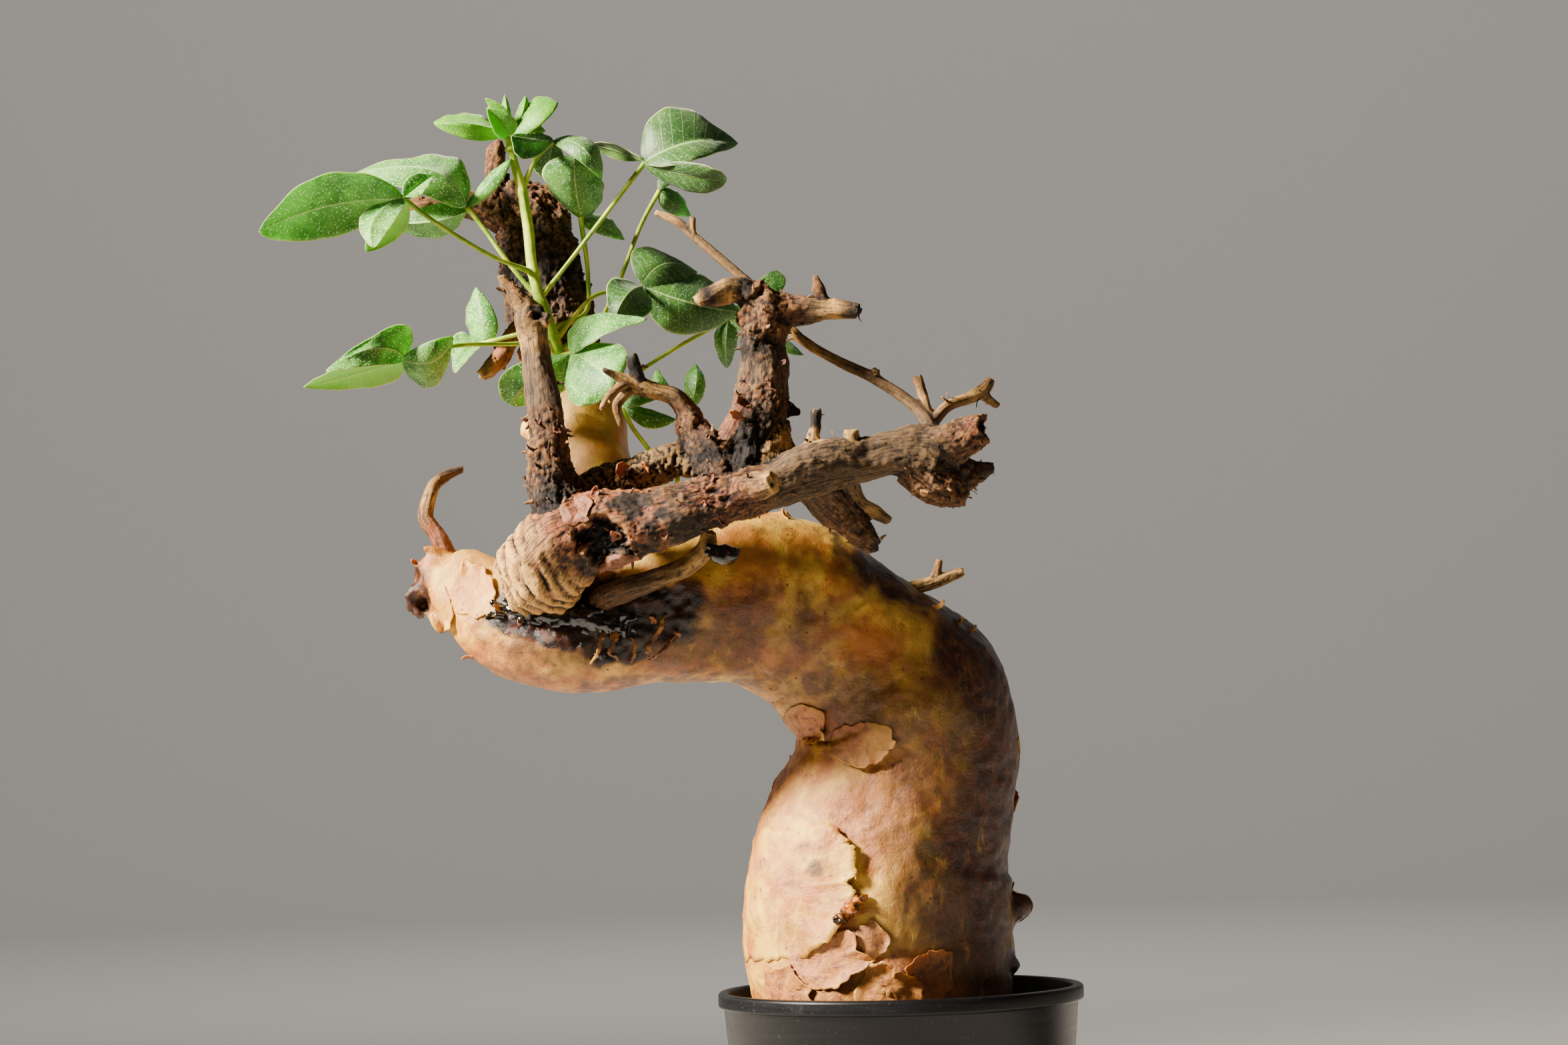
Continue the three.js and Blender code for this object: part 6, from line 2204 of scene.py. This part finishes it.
@dataclass
class Studio:
    """The pale floor and backdrop, the lights and the camera."""

    floor_radius: float = 2500.0
    cove_radius: float = 900.0
    wall_height: float = 3600.0
    camera_at: Point = (-34.0446, -1504.1043, 211.1838)
    camera_right: Point = (0.9996101150, 0.0008819107, -0.0279077076)
    camera_up: Point = (0.0279216387, -0.0315728908, 0.9991113725)
    camera_back: Point = (0.0, -0.9995010629, -0.0315852054)
    photo_width: float = 2352.0
    photo_focus: float = 6850.0
    sensor: float = 36.0
    aim: Point = (-60.0, -20.0, 240.0)

    def backdrop(self) -> None:
        """Make the floor, which sweeps up into a wall all round."""
        far = self.floor_radius + self.cove_radius
        cove = arc((self.floor_radius, self.cove_radius), self.cove_radius, -90, 0, 16)
        inner = [(0.0, 0.0), *cove, (far, self.wall_height)]
        outer = [(far + 20, self.wall_height), (far + 20, -20), (0.0, -20.0)]
        shell = lathe((inner + outer)[::-1], 128)
        made = make_object("studio_floor", [shell], [StudioPaper().material()])

    def light(
        self, name: str, at: Point, aim: Point, size: float, watts: float, tint: Colour, spread: float = 180.0
    ) -> None:
        """Hang a soft square light.

        Args:
            name: Its name.
            at: Where it hangs.
            aim: What it faces.
            size: Its width.
            watts: Its power.
            tint: Its colour.
            spread: How far its light fans out, in degrees.
        """
        lamp = bpy.data.lights.new(name, "AREA")
        lamp.spread = math.radians(spread)
        lamp.size = size * MM
        lamp.energy = watts
        lamp.color = tint
        made = bpy.data.objects.new(name, lamp)
        made.location = Vector(at) * MM
        made.rotation_euler = (Vector(aim) - Vector(at)).to_track_quat("-Z", "Y").to_euler()
        bpy.context.scene.collection.objects.link(made)

    def camera(self) -> None:
        """Place the camera where the plant was seen from."""
        lens = bpy.data.cameras.new("camera")
        lens.sensor_width = self.sensor
        lens.sensor_fit = "HORIZONTAL"
        lens.lens = self.photo_focus * self.sensor / self.photo_width
        lens.clip_start = 0.05
        lens.clip_end = 50
        made = bpy.data.objects.new("camera", lens)
        turn = Matrix((self.camera_right, self.camera_up, self.camera_back)).transposed()
        made.matrix_world = Matrix.Translation(Vector(self.camera_at) * MM) @ turn.to_4x4()
        bpy.context.scene.collection.objects.link(made)
        bpy.context.scene.camera = made

    def build(self) -> None:
        """Set up the whole studio."""
        self.backdrop()
        self.light("key_light", (-1330, -470, 1080), self.aim, 300, 16, (1.0, 0.9, 0.76), 50)
        self.light("fill_light", (1500, -2100, 1500), self.aim, 1400, 2.0, (1.0, 0.95, 0.88))
        self.light("wall_light", (0, 900, 1500), (0, 3300, 900), 1200, 34, (1.0, 0.98, 0.95))
        world = bpy.data.worlds.new("studio_air")
        world.use_nodes = True
        world.node_tree.nodes["Background"].inputs["Color"].default_value = (1.0, 0.96, 0.9, 1.0)
        world.node_tree.nodes["Background"].inputs["Strength"].default_value = 0.07
        bpy.context.scene.world = world
        self.camera()


def main() -> None:
    """Build the whole plant, its pot and the studio."""
    logging.basicConfig(level=logging.INFO, format="%(message)s")
    Studio().build()
    bark = WaxyBark().material()
    wood = DeadWood().material()
    burnt = DeadWood("burnt_wood", grey=srgb(84, 54, 38), rust=srgb(132, 66, 30)).material()
    stem = GreenStem().material()
    leaf = VelvetLeaf().material()
    young = VelvetLeaf("young_leaf", srgb(62, 132, 2), srgb(98, 166, 6), srgb(104, 172, 8),
                       srgb(150, 196, 30), srgb(150, 190, 50), srgb(190, 208, 80)).material()
    grit = GrittySoil().material()

    caudex = Caudex("caudex_bark", "caudex", "bark", bark, 1.03, 3).build()
    PeelingBark(bark, Skin(caudex)).build()
    CaudexTwigs("caudex_twigs", "caudex", "dead_wood", wood, 0.4, 2).build()
    branches = DeadBranches("dead_branches_wood", "dead_branches", "dead_wood", wood, 0.615, 2).build()
    tones = (srgb(176, 104, 44), srgb(140, 72, 28), srgb(70, 34, 18), srgb(150, 110, 50), srgb(146, 82, 46),
             srgb(84, 44, 28), srgb(36, 18, 10))
    skin = WaxyBark("branch_skin", *tones).material()
    BranchBark().build(skin, branches)
    peel = shred(3.4, 1.3, 1.1, (0.2, 0.5, 0, 0.5))
    Strewing("branch_shreds", branches, peel, wood, "dead_wood", 6.0, (0.4, 1.2), "shag", 30, 5).build()
    top = DeadTop("rear_top_wood", "rear_dead_top", "burnt_wood", burnt, 0.52, 1).build()
    burnt_crumb = crumb(1.6, 9)
    Strewing("rear_top_crumbs", top, burnt_crumb, burnt, "burnt_wood", 9.0, (0.3, 1.1), "shag", 60, 7).build()
    GreenShoot().build(leaf, young, stem)
    beads = SetResin("clear_resin", srgb(22, 12, 6), srgb(190, 104, 20), 0.42).material()
    Resin(SetResin().material(), beads, Skin(caudex)).build()
    pot = Pot()
    pot.build(PotPlastic().material())
    bed = pot.soil(grit)
    Strewing("soil_crumbs", bed, crumb(2.6, 4), grit, "soil", 11.0, (0.35, 1.3), "loose", 180, 9).build()


if __name__ == "__main__":
    main()
